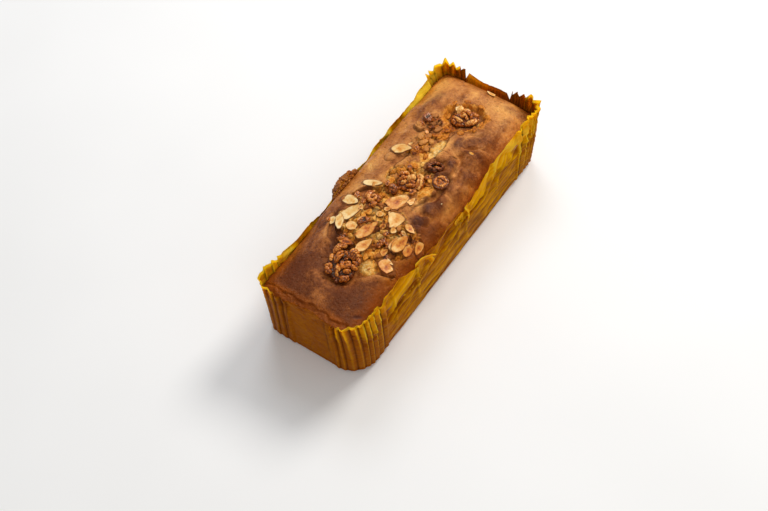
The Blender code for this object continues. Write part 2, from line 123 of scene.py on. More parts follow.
# The case's walls: side, place, height where the dry upper band starts, how dry the band is and the
# wall below it, from 0 soaked and brown to 1 bright yellow, and how wrinkled the wall is.
WALLS = (
    ("near", 12.0, 58.0, 0.40, 0.22, 0.10), ("near", -12.0, 58.0, 0.36, 0.22, 0.10),
    ("near_right", None, 49.0, 0.68, 0.16, 0.15),
    ("right", -84.0, 43.0, 0.92, 0.24, 0.3), ("right", -62.0, 37.5, 0.92, 0.30, 0.9),
    ("right", -44.0, 41.0, 0.95, 0.34, 1.0), ("right", -18.0, 42.0, 0.48, 0.36, 1.0),
    ("right", 8.0, 42.0, 0.60, 0.36, 1.0), ("right", 28.0, 40.0, 1.00, 0.40, 1.0),
    ("right", 45.0, 41.0, 1.25, 0.44, 1.0), ("right", 66.0, 41.0, 1.38, 0.46, 0.9),
    ("right", 86.0, 43.0, 1.42, 0.44, 0.5),
    ("far_right", None, 45.0, 0.62, 0.26, 0.2),
    ("far", -10.0, 44.0, 0.35, 0.16, 0.3), ("far", 20.0, 44.0, 0.35, 0.16, 0.3),
    ("far_left", None, 47.0, 0.95, 0.18, 0.2),
    ("left", 88.0, 38.0, 1.05, 0.28, 0.3), ("left", 40.0, 39.0, 1.00, 0.30, 0.35),
    ("left", 12.0, 40.0, 0.70, 0.28, 0.35), ("left", -30.0, 44.0, 0.40, 0.26, 0.35),
    ("left", -60.0, 40.0, 0.95, 0.28, 0.35), ("left", -84.0, 42.0, 1.05, 0.26, 0.3),
    ("near_left", None, 54.0, 0.66, 0.14, 0.15),
)
# The case's inner face above the crust: side, place, how dry and how toasted it is, and how much light
# comes through the wall there, which also scales the shade painted on the inner face below the rim.
INSIDES = (
    ("near", 12.0, 0.2, 0.3, 0.0), ("near", -12.0, 0.2, 0.3, 0.0), ("near_right", None, 0.9, 0.0, 0.2),
    ("right", -84.0, 1.1, 0.0, 0.2), ("right", 88.0, 1.1, 0.0, 0.2),
    ("far_right", None, 1.0, 0.66, 0.8), ("far", -13.8, 0.4, 0.85, 0.2), ("far", -12.4, 0.60, 0.40, 0.6),
    ("far", -2.0, 0.85, 0.30, 0.85), ("far", 6.0, 1.10, 0.15, 1.0), ("far", 18.5, 1.20, 0.05, 1.05),
    ("far", 21.5, 0.6, 0.6, 0.6), ("far_left", None, 1.0, 0.50, 0.8),
    ("left", 95.0, 1.6, 0.0, -0.5), ("left", 74.0, 1.6, 0.0, -0.5),
    ("left", 64.0, 1.3, 0.0, -0.5), ("left", 54.0, 0.7, 0.35, -0.5), ("left", 45.0, 0.8, 0.3, -0.5),
    ("left", 37.0, 1.5, 0.0, -0.5), ("left", 31.0, 1.4, 0.0, -0.5), ("left", 26.0, 0.9, 0.2, -0.5),
    ("left", 18.0, 1.2, 0.0, -0.5), ("left", 8.0, 1.5, 0.0, -0.5), ("left", -4.0, 0.7, 0.4, -0.4),
    ("left", -22.0, 1.0, 0.2, -0.4), ("left", -28.0, 1.2, 0.0, -0.4), ("left", -36.0, 0.8, 0.35, -0.4),
    ("left", -62.0, 0.6, 0.45, -0.4), ("left", -70.0, 1.2, 0.0, -0.4), ("left", -84.0, 1.4, 0.0, 0.2),
    ("near_left", None, 1.2, 0.0, 0.6),
)
# Folds that run up the walls: side, place at the rim and at the base, how far they stand out, and how
# much highlight is painted on the ridge and how much shade in the hollow beside it.
FOLDS = (
    ("near", 12.9, 17.5, 0.30, 0.05, 0.55), ("near", -14.6, -16.4, 0.35, 0.10, 0.60),
    ("near", 3.0, -4.0, 0.15, 0.10, 0.12), ("right", -41.4, -37.5, 1.00, 0.40, 0.30),
    ("right", -66.0, -64.0, 0.60, 0.25, 0.15), ("right", 13.5, 19.0, 0.80, 0.40, 0.30),
    ("right", 9.8, 4.0, 0.60, 0.25, 0.35), ("right", 50.0, 58.0, 0.45, 0.20, 0.10),
    ("left", 30.0, 24.0, 0.60, 0.25, 0.20), ("left", -48.0, -52.0, 0.60, 0.25, 0.20),
    ("far", 4.0, 0.0, 0.30, 0.20, 0.20),
)
# The pleats' depth at the base, the height where the rim starts to lean out, and how far up and in
# the case's foot is rounded.
PLEAT_DEPTH_BASE = 0.9
LEAN_START = 38.0
FOLD_HEIGHT = 3.0
BOTTOM_ROUNDING = 1.6
# Room between the case and the cake.
GAP = 0.35

# ---------------------------------------------------------------- camera

CAMERA_PLACE = (-0.4256, -0.3143, 0.7710)
CAMERA_FORWARD = (0.43811, 0.34395, -0.83052)
CAMERA_UP = (0.70090, 0.44778, 0.55518)
CAMERA_LENS = 65.34
SENSOR_WIDTH = 36.0


def add_object(name, data):
    thing = bpy.data.objects.new(name, data)
    bpy.context.scene.collection.objects.link(thing)
    return thing


def make_camera():
    data = bpy.data.cameras.new("camera")
    data.lens = CAMERA_LENS
    data.sensor_width = SENSOR_WIDTH
    data.sensor_fit = "HORIZONTAL"
    camera = add_object("camera", data)
    forward = Vector(CAMERA_FORWARD).normalized()
    right = forward.cross(Vector(CAMERA_UP)).normalized()
    up = right.cross(forward)
    turn = Matrix((right, up, -forward)).transposed().to_4x4()
    camera.matrix_world = Matrix.Translation(CAMERA_PLACE) @ turn
    bpy.context.scene.camera = camera


make_camera()

# ---------------------------------------------------------------- numbers and noise


def ease(t):
    """A smooth step from 0 to 1 as t goes from 0 to 1."""
    t = np.clip(t, 0.0, 1.0)
    return t * t * (3.0 - 2.0 * t)


def bell(away, width):
    """1 where away is 0, falling smoothly to 0 over about two widths on both sides."""
    return np.exp(-(away / width) ** 2)


def lattice(seed, *cells):
    """A repeatable value from 0 to 1 for each point of a whole-number lattice."""
    mixed = np.int64(seed * 2654435 + 97)
    for cell, prime in zip(cells, (73856093, 19349663, 83492791)):
        mixed = mixed ^ (cell * prime)
    mixed = mixed & 0xFFFFFFFF
    mixed = ((mixed ^ (mixed >> 15)) * 0x2C1B3C6D) & 0xFFFFFFFF
    mixed = ((mixed ^ (mixed >> 12)) * 0x297A2D39) & 0xFFFFFFFF
    return (mixed ^ (mixed >> 15)) / 0xFFFFFFFF


def noise(seed, *places):
    """Smooth noise from -1 to 1 with features about one unit wide."""
    floors = [np.floor(p).astype(np.int64) for p in places]
    weights = [ease(p - f) for p, f in zip(places, floors)]
    total = 0.0
    for corner in itertools.product((0, 1), repeat=len(places)):
        weight = 1.0
        for side, w in zip(corner, weights):
            weight = weight * (w if side else 1.0 - w)
        total = total + weight * lattice(seed, *[f + side for f, side in zip(floors, corner)])
    return 2.0 * total - 1.0


def mottle(seed, x, y, size):
    """Smooth noise from -1 to 1 over the plan, with features about size wide."""
    return noise(seed, x / size, y / size)


def rough(seed, octaves, x, y):
    """Noise summed over octaves, each half as large and turned against the one before."""
    total = 0.0
    for k in range(octaves):
        total = total + 0.5 ** k * noise(seed + k, x, y)
        x, y = 1.62 * x + 1.22 * y + 5.7, 1.62 * y - 1.22 * x + 9.1
    return total


def scatter(seed, x, y):
    """Distances to the nearest and next scattered point, one in each unit cell, and its value."""
    cx, cy = np.floor(x).astype(np.int64), np.floor(y).astype(np.int64)
    best = np.full(np.shape(x), 9.0)
    second = best.copy()
    value = np.zeros(np.shape(x))
    for i, j in itertools.product((-1, 0, 1), repeat=2):
        px = cx + i + lattice(seed, cx + i, cy + j)
        py = cy + j + lattice(seed + 1, cx + i, cy + j)
        away = np.hypot(x - px, y - py)
        nearer = away < best
        second = np.where(nearer, best, np.minimum(second, away))
        value = np.where(nearer, lattice(seed + 2, cx + i, cy + j), value)
        best = np.minimum(best, away)
    return best, second, value


def turned(x, y, along, across, turn):
    """The place that lies along and across from x, y in a frame turned about the vertical."""
    cosine, sine = math.cos(math.radians(turn)), math.sin(math.radians(turn))
    return x + along * cosine - across * sine, y + along * sine + across * cosine


def oval(x, y, cx, cy, along, across, turn):
    """Distance from an oval's middle as a fraction of its half sizes."""
    p, q = turned(0.0, 0.0, x - cx, y - cy, -turn)
    return np.hypot(p / along, q / across)


def ovals(x, y, table, wander):
    """For each row of a table, how far out the places lie in its oval, and the rest of the row."""
    for *shape, a, b in table:
        yield oval(x, y, *shape) + wander, a, b


def line_distance(x, y, points):
    """Distance from a line through the points, how far along it, and +1 on its left or -1 on its right."""
    best = np.full(np.shape(x), 1e9)
    along, side = np.zeros(np.shape(x)), np.ones(np.shape(x))
    lengths = [math.dist(a, b) for a, b in itertools.pairwise(points)]
    done = 0.0
    for (ax, ay), (bx, by), length in zip(points, points[1:], lengths):
        t = np.clip(((x - ax) * (bx - ax) + (y - ay) * (by - ay)) / length ** 2, 0.0, 1.0)
        away = np.hypot(x - ax - t * (bx - ax), y - ay - t * (by - ay))
        nearer = away < best
        along = np.where(nearer, (done + t * length) / sum(lengths), along)
        side = np.where(nearer, np.sign((bx - ax) * (y - ay) - (by - ay) * (x - ax)), side)
        best = np.minimum(best, away)
        done += length
    return best, along, side


# ---------------------------------------------------------------- meshes


def set_values(mesh, name, values):
    layer = mesh.attributes.get(name) or mesh.attributes.new(name, "FLOAT", "POINT")
    layer.data.foreach_set("value", np.asarray(values, np.float32).ravel())


def show(name, mesh, material):
    """A smooth object with one material from a finished mesh."""
    mesh.shade_smooth()
    mesh.materials.clear()
    mesh.materials.append(material)
    return add_object(name, mesh)


def make_mesh(name, points, faces, material, attributes=None, crisp=None):
    """A smooth object from points in millimetres, with its named values for each point.

    Edges that turn by more than crisp degrees stay sharp."""
    mesh = bpy.data.meshes.new(name)
    mesh.from_pydata((np.asarray(points) * MM).tolist(), [], faces)
    mesh.update()
    thing = show(name, mesh, material)
    if crisp:
        mesh.set_sharp_from_angle(angle=math.radians(crisp))
    for key, values in (attributes or {}).items():
        set_values(mesh, key, values)
    return thing


def grid_faces(rows, columns, start=0, wrap=False, flip=False):
    """Four-sided faces of a grid whose points are stored row after row."""
    faces = []
    last = columns if wrap else columns - 1
    for i in range(rows - 1):
        for j in range(last):
            a = start + i * columns + j
            b = start + i * columns + (j + 1) % columns
            face = (a, b, b + columns, a + columns)
            faces.append(face[::-1] if flip else face)
    return faces


def around(count):
    """Each number below count, with the next one round a ring."""
    return [(k, (k + 1) % count) for k in range(count)]


def grid_border(rows, columns):
    """Numbers of the points round a grid's border, one after another."""
    last = (rows - 1) * columns
    return ([i * columns for i in range(rows)] + [last + j for j in range(1, columns)]
            + [i * columns + columns - 1 for i in range(rows - 2, -1, -1)] + list(range(columns - 2, 0, -1)))


# How often a skin is smoothed to find its hollows.
SMOOTHING_ROUNDS = 14


def hollows(points, edges, normals):
    """How far each point lies below its smoothed neighbourhood, along its normal."""
    smooth = points.copy()
    count = np.zeros(len(points))
    for side in (0, 1):
        np.add.at(count, edges[:, side], 1.0)
    for _ in range(SMOOTHING_ROUNDS):
        total = np.zeros_like(smooth)
        np.add.at(total, edges[:, 0], smooth[edges[:, 1]])
        np.add.at(total, edges[:, 1], smooth[edges[:, 0]])
        smooth = 0.4 * smooth + 0.6 * total / np.maximum(count, 1.0)[:, None]
    return ((smooth - points) * normals).sum(1)


def read_rows(items, name, width, kind=float):
    """One property of all items of a mesh, with a row for each item."""
    values = np.zeros(len(items) * width, kind)
    items.foreach_get(name, values)
    return values.reshape(-1, width)


def mesh_arrays(mesh):
    """Points, normals and edges of a mesh, in its own units."""
    return (read_rows(mesh.vertices, "co", 3), read_rows(mesh.vertex_normals, "vector", 3),
            read_rows(mesh.edges, "vertices", 2, np.int64))


# ---------------------------------------------------------------- materials


def tint(red, green, blue):
    """A colour given as it looks, from 0 to 255, in the renderer's own linear values."""
    channels = []
    for value in (red, green, blue):
        c = value / 255.0
        channels.append(c / 12.92 if c <= 0.04045 else ((c + 0.055) / 1.055) ** 2.4)
    return (*channels, 1.0)


# Where the Mix node keeps its two colours and its result.
COLOUR_A, COLOUR_B, COLOUR_OUT = 6, 7, 2


class Paint:
    """A node material whose textures are laid in millimetres in the object's own frame."""

    def __init__(self, name, gloss, settings=()):
        self.material = bpy.data.materials.new(name)
        self.material.use_nodes = True
        self.nodes = self.material.node_tree.nodes
        self.shader = self.nodes["Principled BSDF"]
        for socket, number in (("Specular IOR Level", gloss), *settings):
            self.shader.inputs[socket].default_value = number
        self.place = self.mapped((1.0, 1.0, 1.0))

    def mapped(self, squeeze):
        """Coordinates in millimetres, squeezed along each axis."""
        source = self.nodes.new("ShaderNodeTexCoord")
        mapping = self.nodes.new("ShaderNodeMapping")
        mapping.inputs["Scale"].default_value = [s / MM for s in squeeze]
        self.link(source.outputs["Object"], mapping.inputs["Vector"])
        return mapping.outputs["Vector"]

    def link(self, source, target):
        self.material.node_tree.links.new(source, target)

    def feed(self, target, value):
        if isinstance(value, (int, float, tuple, list)):
            target.default_value = value
        else:
            self.link(value, target)

    def value(self, name):
        """A value painted on the mesh's points."""
        node = self.nodes.new("ShaderNodeAttribute")
        node.attribute_name = name
        return node.outputs["Fac"]

    def texture(self, kind, place=None, **settings):
        node = self.nodes.new(kind)
        for socket, number in settings.items():
            node.inputs[socket].default_value = number
        self.link(place or self.place, node.inputs["Vector"])
        return node.outputs

    def noise(self, size, detail=3.0, rough=0.5, warp=0.0, place=None):
        return self.texture("ShaderNodeTexNoise", place, Scale=1.0 / size, Detail=detail, Roughness=rough,
                            Distortion=warp)["Fac"]

    def cells(self, size):
        """Distance from scattered points about size apart, as a part of size."""
        return self.texture("ShaderNodeTexVoronoi", Scale=1.0 / size)["Distance"]

    def sum(self, operation, *parts):
        node = self.nodes.new("ShaderNodeMath")
        node.operation = operation
        for socket, part in zip(node.inputs, parts):
            self.feed(socket, part)
        return node.outputs[0]

    def weigh(self, start, *parts):
        """Start plus each part times its weight."""
        for part, weight in parts:
            start = self.sum("MULTIPLY_ADD", part, weight, start)
        return start

    def span(self, value, low, high, to_low=0.0, to_high=1.0):
        """Value mapped from one range to another and kept within it."""
        node = self.nodes.new("ShaderNodeMapRange")
        node.interpolation_type = "SMOOTHSTEP"
        for key, number in (("From Min", low), ("From Max", high), ("To Min", to_low), ("To Max", to_high)):
            node.inputs[key].default_value = number
        self.feed(node.inputs["Value"], value)
        return node.outputs["Result"]

    def ramp(self, value, *stops):
        """A colour for each value, from stops of a value from 0 to 1 and a colour as it looks."""
        node = self.nodes.new("ShaderNodeValToRGB")
        elements = node.color_ramp.elements
        while len(elements) < len(stops):
            elements.new(0.5)
        for element, (place, *colour) in zip(elements, stops):
            element.position = place
            element.color = tint(*colour)
        self.link(value, node.inputs["Fac"])
        return node.outputs["Color"]

    def mix(self, factor, a, b):
        node = self.nodes.new("ShaderNodeMix")
        node.data_type = "RGBA"
        self.feed(node.inputs["Factor"], factor)
        self.feed(node.inputs[COLOUR_A], a)
        self.feed(node.inputs[COLOUR_B], b)
        return node.outputs[COLOUR_OUT]

    def bump(self, height, depth, before=None):
        """Bump of a given depth in millimetres for a height from 0 to 1."""
        node = self.nodes.new("ShaderNodeBump")
        node.inputs["Strength"].default_value = 1.0
        node.inputs["Distance"].default_value = depth * MM
        self.link(height, node.inputs["Height"])
        if before:
            self.link(before, node.inputs["Normal"])
        return node.outputs["Normal"]

    def finish(self, colour, normal=None, roughness=None):
        self.link(colour, self.shader.inputs["Base Color"])
        if normal:
            self.link(normal, self.shader.inputs["Normal"])
        if roughness:
            self.link(roughness, self.shader.inputs["Roughness"])
        return self.material


def crust_paint():
    p = Paint("baked_crust", 0.30, [("Specular Tint", (1.0, 0.72, 0.44, 1.0))])
    large = p.noise(9.0, 3.0, 0.55, 0.4)
    middle = p.noise(2.6, 4.0, 0.62)
    fine = p.noise(0.8, 4.0, 0.7)
    bake_and_highlight = p.weigh(p.value("bake_and_highlight"), (large, 0.38), (middle, 0.62), (fine, 0.50))
    bake_and_highlight = p.sum("SUBTRACT", bake_and_highlight, 0.75)
    crust = p.ramp(bake_and_highlight, (0.0, 242, 190, 112), (0.22, 226, 157, 80), (0.45, 198, 127, 64),
                   (0.68, 160, 91, 40), (0.87, 112, 54, 20), (1.0, 98, 43, 15))
    pores = p.cells(2.1)
    crust = p.mix(p.span(pores, 0.06, 0.20, 0.45, 0.0), crust, tint(72, 28, 14))
    crumb_tone = p.weigh(p.value("pale"), (p.noise(2.2, 4.0, 0.6, 0.8), 1.2))
    crumb_tone = p.sum("SUBTRACT", crumb_tone, 0.52)
    crumb = p.ramp(crumb_tone, (0.0, 92, 36, 8), (0.20, 172, 86, 16), (0.45, 226, 140, 38),
                   (0.72, 240, 184, 92), (1.0, 246, 218, 160))
    edge = p.ramp(bake_and_highlight, (0.10, 230, 160, 68), (0.40, 196, 116, 32), (0.85, 146, 72, 12))
    colour = p.mix(p.value("gold"), crust, edge)
    colour = p.mix(p.value("crumb"), colour, crumb)
    # Darker baked places, and painted shade inside the far crater and along the far end under the wall.
    char_and_shade = p.sum("MULTIPLY", p.value("char_and_shade"), p.span(middle, 0.2, 0.7, 0.5, 1.0))
    colour = p.mix(char_and_shade, colour, tint(72, 36, 34))
    # Painted shade: darker in creases, cracks, gaps between chunks, holes, pores, folds, under lumps and
    # round the flakes.
    colour = p.mix(p.value("crease"), colour, tint(46, 16, 4))
    normal = p.bump(middle, 0.85)
    normal = p.bump(p.noise(1.2, 5.0, 0.72), 0.50, normal)
    normal = p.bump(p.span(pores, 0.05, 0.20), 0.20, normal)
    roughness = p.span(large, 0.3, 0.7, 0.27, 0.46)
    return p.finish(colour, normal, roughness)


def paper_paint():
    p = Paint("waxed_paper", 0.03, [("Specular Tint", (1.0, 0.65, 0.08, 1.0))])
    blotch = p.noise(13.0, 4.0, 0.6, 0.8)
    middle = p.noise(3.5, 4.0, 0.6)
    fibre = p.noise(1.0, 4.0, 0.6, 0.3, p.mapped((0.26, 0.5, 0.8)))
    dry = p.weigh(p.value("free"), (middle, 0.36), (blotch, 0.30), (fibre, 0.44))
    dry = p.sum("MULTIPLY_ADD", dry, 0.72, -0.39)
    colour = p.ramp(dry, (0.0, 138, 68, 2), (0.16, 164, 88, 2), (0.34, 190, 118, 8),
                    (0.54, 222, 152, 2), (0.78, 252, 192, 2), (1.0, 255, 222, 60))
    # Painted shade in the pleats' grooves, the hollows beside the folds and the dent near the foot.
    colour = p.mix(p.value("valley_shade"), colour, tint(78, 26, 0))
    toast = p.sum("MULTIPLY", p.value("toast"), p.span(middle, 0.2, 0.8, 0.75, 1.0))
    stripes = p.noise(1.6, 3.0, 0.5, 0.0, p.mapped((1.0, 1.0, 0.1)))
    colour = p.mix(toast, colour, p.ramp(stripes, (0.35, 74, 20, 0), (0.65, 192, 98, 10)))
    # Painted glow: where much light comes through, most at the pleats' tips, the colour is painted paler
    # yellow.
    colour = p.mix(p.span(p.value("thin"), 0.9, 1.5, 0.0, 0.85), colour, tint(255, 228, 100))
    normal = p.bump(p.noise(2.2, 3.0, 0.5, 1.2), 0.36)
    normal = p.bump(fibre, 0.34, normal)
    p.finish(colour, normal, p.span(middle, 0.3, 0.7, 0.36, 0.52))
    # Light comes through the paper, more where it is dry or stands free at the rim.
    through = p.nodes.new("ShaderNodeBsdfTranslucent")
    p.link(colour, through.inputs["Color"])
    p.link(normal, through.inputs["Normal"])
    both = p.nodes.new("ShaderNodeMixShader")
    amount = p.sum("MULTIPLY_ADD", p.value("free"), 0.20, 0.14)
    amount = p.weigh(amount, (p.value("thin"), 0.50))
    p.link(p.sum("MAXIMUM", amount, 0.08), both.inputs["Fac"])
    p.link(p.shader.outputs["BSDF"], both.inputs[1])
    p.link(through.outputs["BSDF"], both.inputs[2])
    p.link(both.outputs["Shader"], p.nodes["Material Output"].inputs["Surface"])
    return p.material


def walnut_paint():
    p = Paint("walnut_skin", 0.50, [("Coat Weight", 0.20), ("Coat Roughness", 0.14),
                                    ("Specular Tint", (1.0, 0.76, 0.50, 1.0))])
    middle = p.noise(2.4, 4.0, 0.6)
    fine = p.noise(0.5, 4.0, 0.65)
    tone = p.weigh(p.value("tone"), (middle, 0.70), (fine, 0.56))
    tone = p.sum("SUBTRACT", tone, 0.63)
    # Painted shade in the skin's folds, and painted highlights on its ridges where the value is below 0.
    tone = p.sum("SUBTRACT", tone, p.sum("MULTIPLY", p.value("hollow_shade"), 0.60))
    skin = p.ramp(tone, (0.0, 54, 16, 2), (0.25, 100, 38, 6), (0.50, 158, 76, 14),
                  (0.78, 212, 122, 36), (1.0, 244, 180, 96))
    normal = p.bump(fine, 0.20)
    return p.finish(skin, normal, p.span(middle, 0.3, 0.7, 0.15, 0.34))


def almond_paint():
    p = Paint("toasted_almond", 0.48, [("Specular Tint", (1.0, 0.9, 0.75, 1.0))])
    middle = p.noise(3.2, 3.0, 0.55, 0.4)
    fine = p.noise(0.8, 4.0, 0.6)
    rim = p.value("rim")
    toast = p.weigh(p.value("toast"), (middle, 1.20), (fine, 0.42), (p.span(rim, 0.10, 0.85), -0.34))
    toast = p.sum("SUBTRACT", toast, 0.56)
    flesh = p.ramp(toast, (0.0, 246, 214, 152), (0.30, 236, 184, 106), (0.55, 224, 146, 54),
                   (0.80, 192, 98, 20), (1.0, 116, 50, 10))
    flesh = p.mix(p.span(rim, 0.90, 0.98, 0.0, 0.85), flesh, tint(112, 50, 12))
    normal = p.bump(p.noise(0.6, 4.0, 0.6), 0.14)
    return p.finish(flesh, normal, p.span(middle, 0.3, 0.7, 0.26, 0.42))


def floor_paint():
    p = Paint("pale_floor", 0.3, [("Roughness", 0.7)])
    return p.finish(p.ramp(p.noise(160.0, 2.0), (0.3, 243, 242, 240), (0.7, 247, 246, 244)))


CRUST = crust_paint()
PAPER = paper_paint()
WALNUT = walnut_paint()
ALMOND = almond_paint()

# ---------------------------------------------------------------- outline of the loaf


def make_outline():
    """Stretches round the loaf, anticlockwise from the near end's middle: name, length, start of a
    side or middle of a corner, heading or first angle, and a corner's radius."""
    points = [(name, (a * (HALF_LENGTH - r), c * (HALF_WIDTH - r)), r) for name, a, c, r in CORNERS]
    (_, near_right, r1), (_, far_right, r2), (_, far_left, r3), (_, near_left, r4) = points
    return (
        ("near", -near_right[1], (-HALF_LENGTH, 0.0), -90.0, 0.0),
        ("near_right", 0.25 * TURN * r1, near_right, 180.0, r1),
        ("right", far_right[0] - near_right[0], (near_right[0], -HALF_WIDTH), 0.0, 0.0),
        ("far_right", 0.25 * TURN * r2, far_right, 270.0, r2),
        ("far", far_left[1] - far_right[1], (HALF_LENGTH, far_right[1]), 90.0, 0.0),
        ("far_left", 0.25 * TURN * r3, far_left, 0.0, r3),
        ("left", far_left[0] - near_left[0], (far_left[0], HALF_WIDTH), 180.0, 0.0),
        ("near_left", 0.25 * TURN * r4, near_left, 90.0, r4),
        ("near", near_left[1], (-HALF_LENGTH, near_left[1]), -90.0, 0.0),
    )


OUTLINE = make_outline()
PERIMETER = sum(stretch[1] for stretch in OUTLINE)


def outline(s, offset):
    """Points at distances s round the outline, moved outwards by offset."""
    s = np.mod(s, PERIMETER)
    x, y = np.zeros(np.shape(s)), np.zeros(np.shape(s))
    start = 0.0
    for _, length, place, angle, radius in OUTLINE:
        here = (s >= start) & (s <= start + length)
        along = s - start
        if radius:
            turn = math.radians(angle) + along / radius
            reach = radius + offset
            px, py = place[0] + reach * np.cos(turn), place[1] + reach * np.sin(turn)
        else:
            px, py = turned(*place, along, -offset, angle)
        x, y = np.where(here, px, x), np.where(here, py, y)
        start += length
    return x, y


def place_round(name, along=None):
    """Distance round the outline of a corner's middle, or of a place along a side."""
    s = 0.0
    for stretch, length, place, angle, _ in OUTLINE:
        if stretch == name:
            if along is None:
                return s + 0.5 * length
            start = place[0] if stretch in ("right", "left") else place[1]
            ahead = (along - start) * (1.0 if angle in (0.0, 90.0) else -1.0)
            if 0.0 <= ahead <= length:
                return s + ahead
        s += length
    raise ValueError(name)


def flare(z):
    return WALL_FLARE * z / FLARE_HEIGHT


def round_away(s, place):
    """Signed distance round the outline from a place, the short way."""
    return np.mod(s - place + 0.5 * PERIMETER, PERIMETER) - 0.5 * PERIMETER


def round_value(table, column, s):
    """A column of a table of places round the case, at distances s, eased between the places."""
    entries = sorted((place_round(row[0], row[1]), row[column]) for row in table)
    first, last = entries[0], entries[-1]
    entries = [(last[0] - PERIMETER, last[1])] + entries + [(first[0] + PERIMETER, first[1])]
    s = np.mod(s, PERIMETER)
    value = np.zeros(np.shape(s))
    for (start, low), (end, high) in itertools.pairwise(entries):
        here = (s >= start) & (s <= end)
        value = np.where(here, low + (high - low) * ease((s - start) / (end - start)), value)
    return value


def pleats_at(s):
    """The knife pleats at distances s: their rise from groove to crest, from 0 to 1, depth at the
    rim, sweep and height of their tips, number, and how close s is to a crest and to a groove."""
    found = [np.zeros(np.shape(s))] * 7
    for index, (corner, before, after, count, rim_depth, rim_sweep, *tips) in enumerate(PLEATS):
        t = (round_away(s, place_round(corner)) + before) / (before + after)
        inside = (t > 0.0) & (t < 1.0)
        phase = count * (t + 0.026 * np.sin(TURN * (1.7 * t + 0.3 * index))
                         + 0.016 * noise(40 + index, 5.0 * t))
        which = np.floor(phase)
        part = phase - which
        top = 0.74 + 0.20 * (lattice(50 + index, which.astype(np.int64)) - 0.5)
        climb = np.where(part < top, (part / top) ** 0.8, (1.0 - part) / (1.0 - top))
        size = 0.68 + 0.50 * lattice(60 + index, which.astype(np.int64))
        fade = ease(t / 0.05) * ease((1.0 - t) / 0.05)
        height = tips[0] + (tips[1] - tips[0]) * ease((t - 0.25) / 0.4)
        corner_values = (climb, rim_depth * size * fade, rim_sweep * ease(t / 0.3) * fade,
                         height * size * fade, which + 20 * index + 1, bell(part - top, 0.09) * fade,
                         bell(np.minimum(part, 1.0 - part), 0.10) * fade)
        found = [np.where(inside, new, old) for new, old in zip(corner_values, found)]
    return found


# ---------------------------------------------------------------- toppings' places


def node_frame(name, heading):
    """Middle, forward, sideways and upward directions of a thin CAD node, in millimetres."""
    points = np.array([v.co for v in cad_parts[name].data.vertices]) / MM
    middle = points.mean(0)
    up = np.linalg.svd(points - middle)[2][2]
    up = up if up[2] > 0 else -up
    angle = math.radians(heading)
    forward = np.array([math.cos(angle), math.sin(angle), 0.0])
    forward = forward - up * (forward @ up)
    forward /= np.linalg.norm(forward)
    return middle, forward, np.cross(up, forward), up


FLAKE_PLACES = {number: node_frame(f"almond_flake_{number:02d}", heading)
                for number, _, _, heading, *_ in FLAKES}

# ---------------------------------------------------------------- the crust

# Places where the crust has opened on the crumb: place, half sizes, turn, paleness and depth.
CRUMB_PATCHES = (
    (-60.5, -14.0, 6.6, 5.0, 65.0, 0.42, 0.1), (-52.0, -11.0, 5.2, 3.0, -25.0, 0.34, 0.2),
    (4.5, -13.5, 6.5, 4.2, -10.0, 0.42, 0.3), (19.0, 2.8, 6.0, 4.0, 4.0, 0.50, 0.6),
    (29.0, 1.5, 6.0, 4.0, -8.0, 0.52, 0.9), (39.0, -1.0, 10.0, 3.3, -4.0, 0.66, 1.0),
    (53.0, 2.6, 7.5, 3.2, 8.0, 0.26, 0.6), (61.0, 1.5, 5.0, 3.2, 40.0, 0.14, 0.5),
    (62.0, -7.5, 4.0, 2.4, -60.0, 0.12, 0.5),
)
# Zones of broken crust and crumb among the toppings: place, half sizes, turn and paleness. Their
# chunks are about as long and as wide as given below.
RUBBLE = (
    (-33.0, 0.0, 26.0, 23.0, 0.0, 0.38), (-50.0, -14.0, 14.0, 11.0, 20.0, 0.34),
    (8.0, 0.0, 17.0, 13.0, -58.0, 0.38), (-13.0, 7.0, 13.0, 11.0, 0.0, 0.36),
    (35.0, 9.5, 13.0, 7.0, -15.0, 0.14), (54.0, 14.0, 8.0, 7.0, 30.0, 0.02),
    (-34.0, -22.0, 16.0, 9.0, 0.0, 0.22),
)
CHUNK_LENGTH, CHUNK_WIDTH = 4.6, 3.8
# Raised blisters with a cracked outline: place, radius, height.
BLISTERS = ((33.5, -8.6, 4.7, 1.7), (18.0, 22.0, 4.2, 1.2), (48.0, 20.0, 3.4, 0.6))
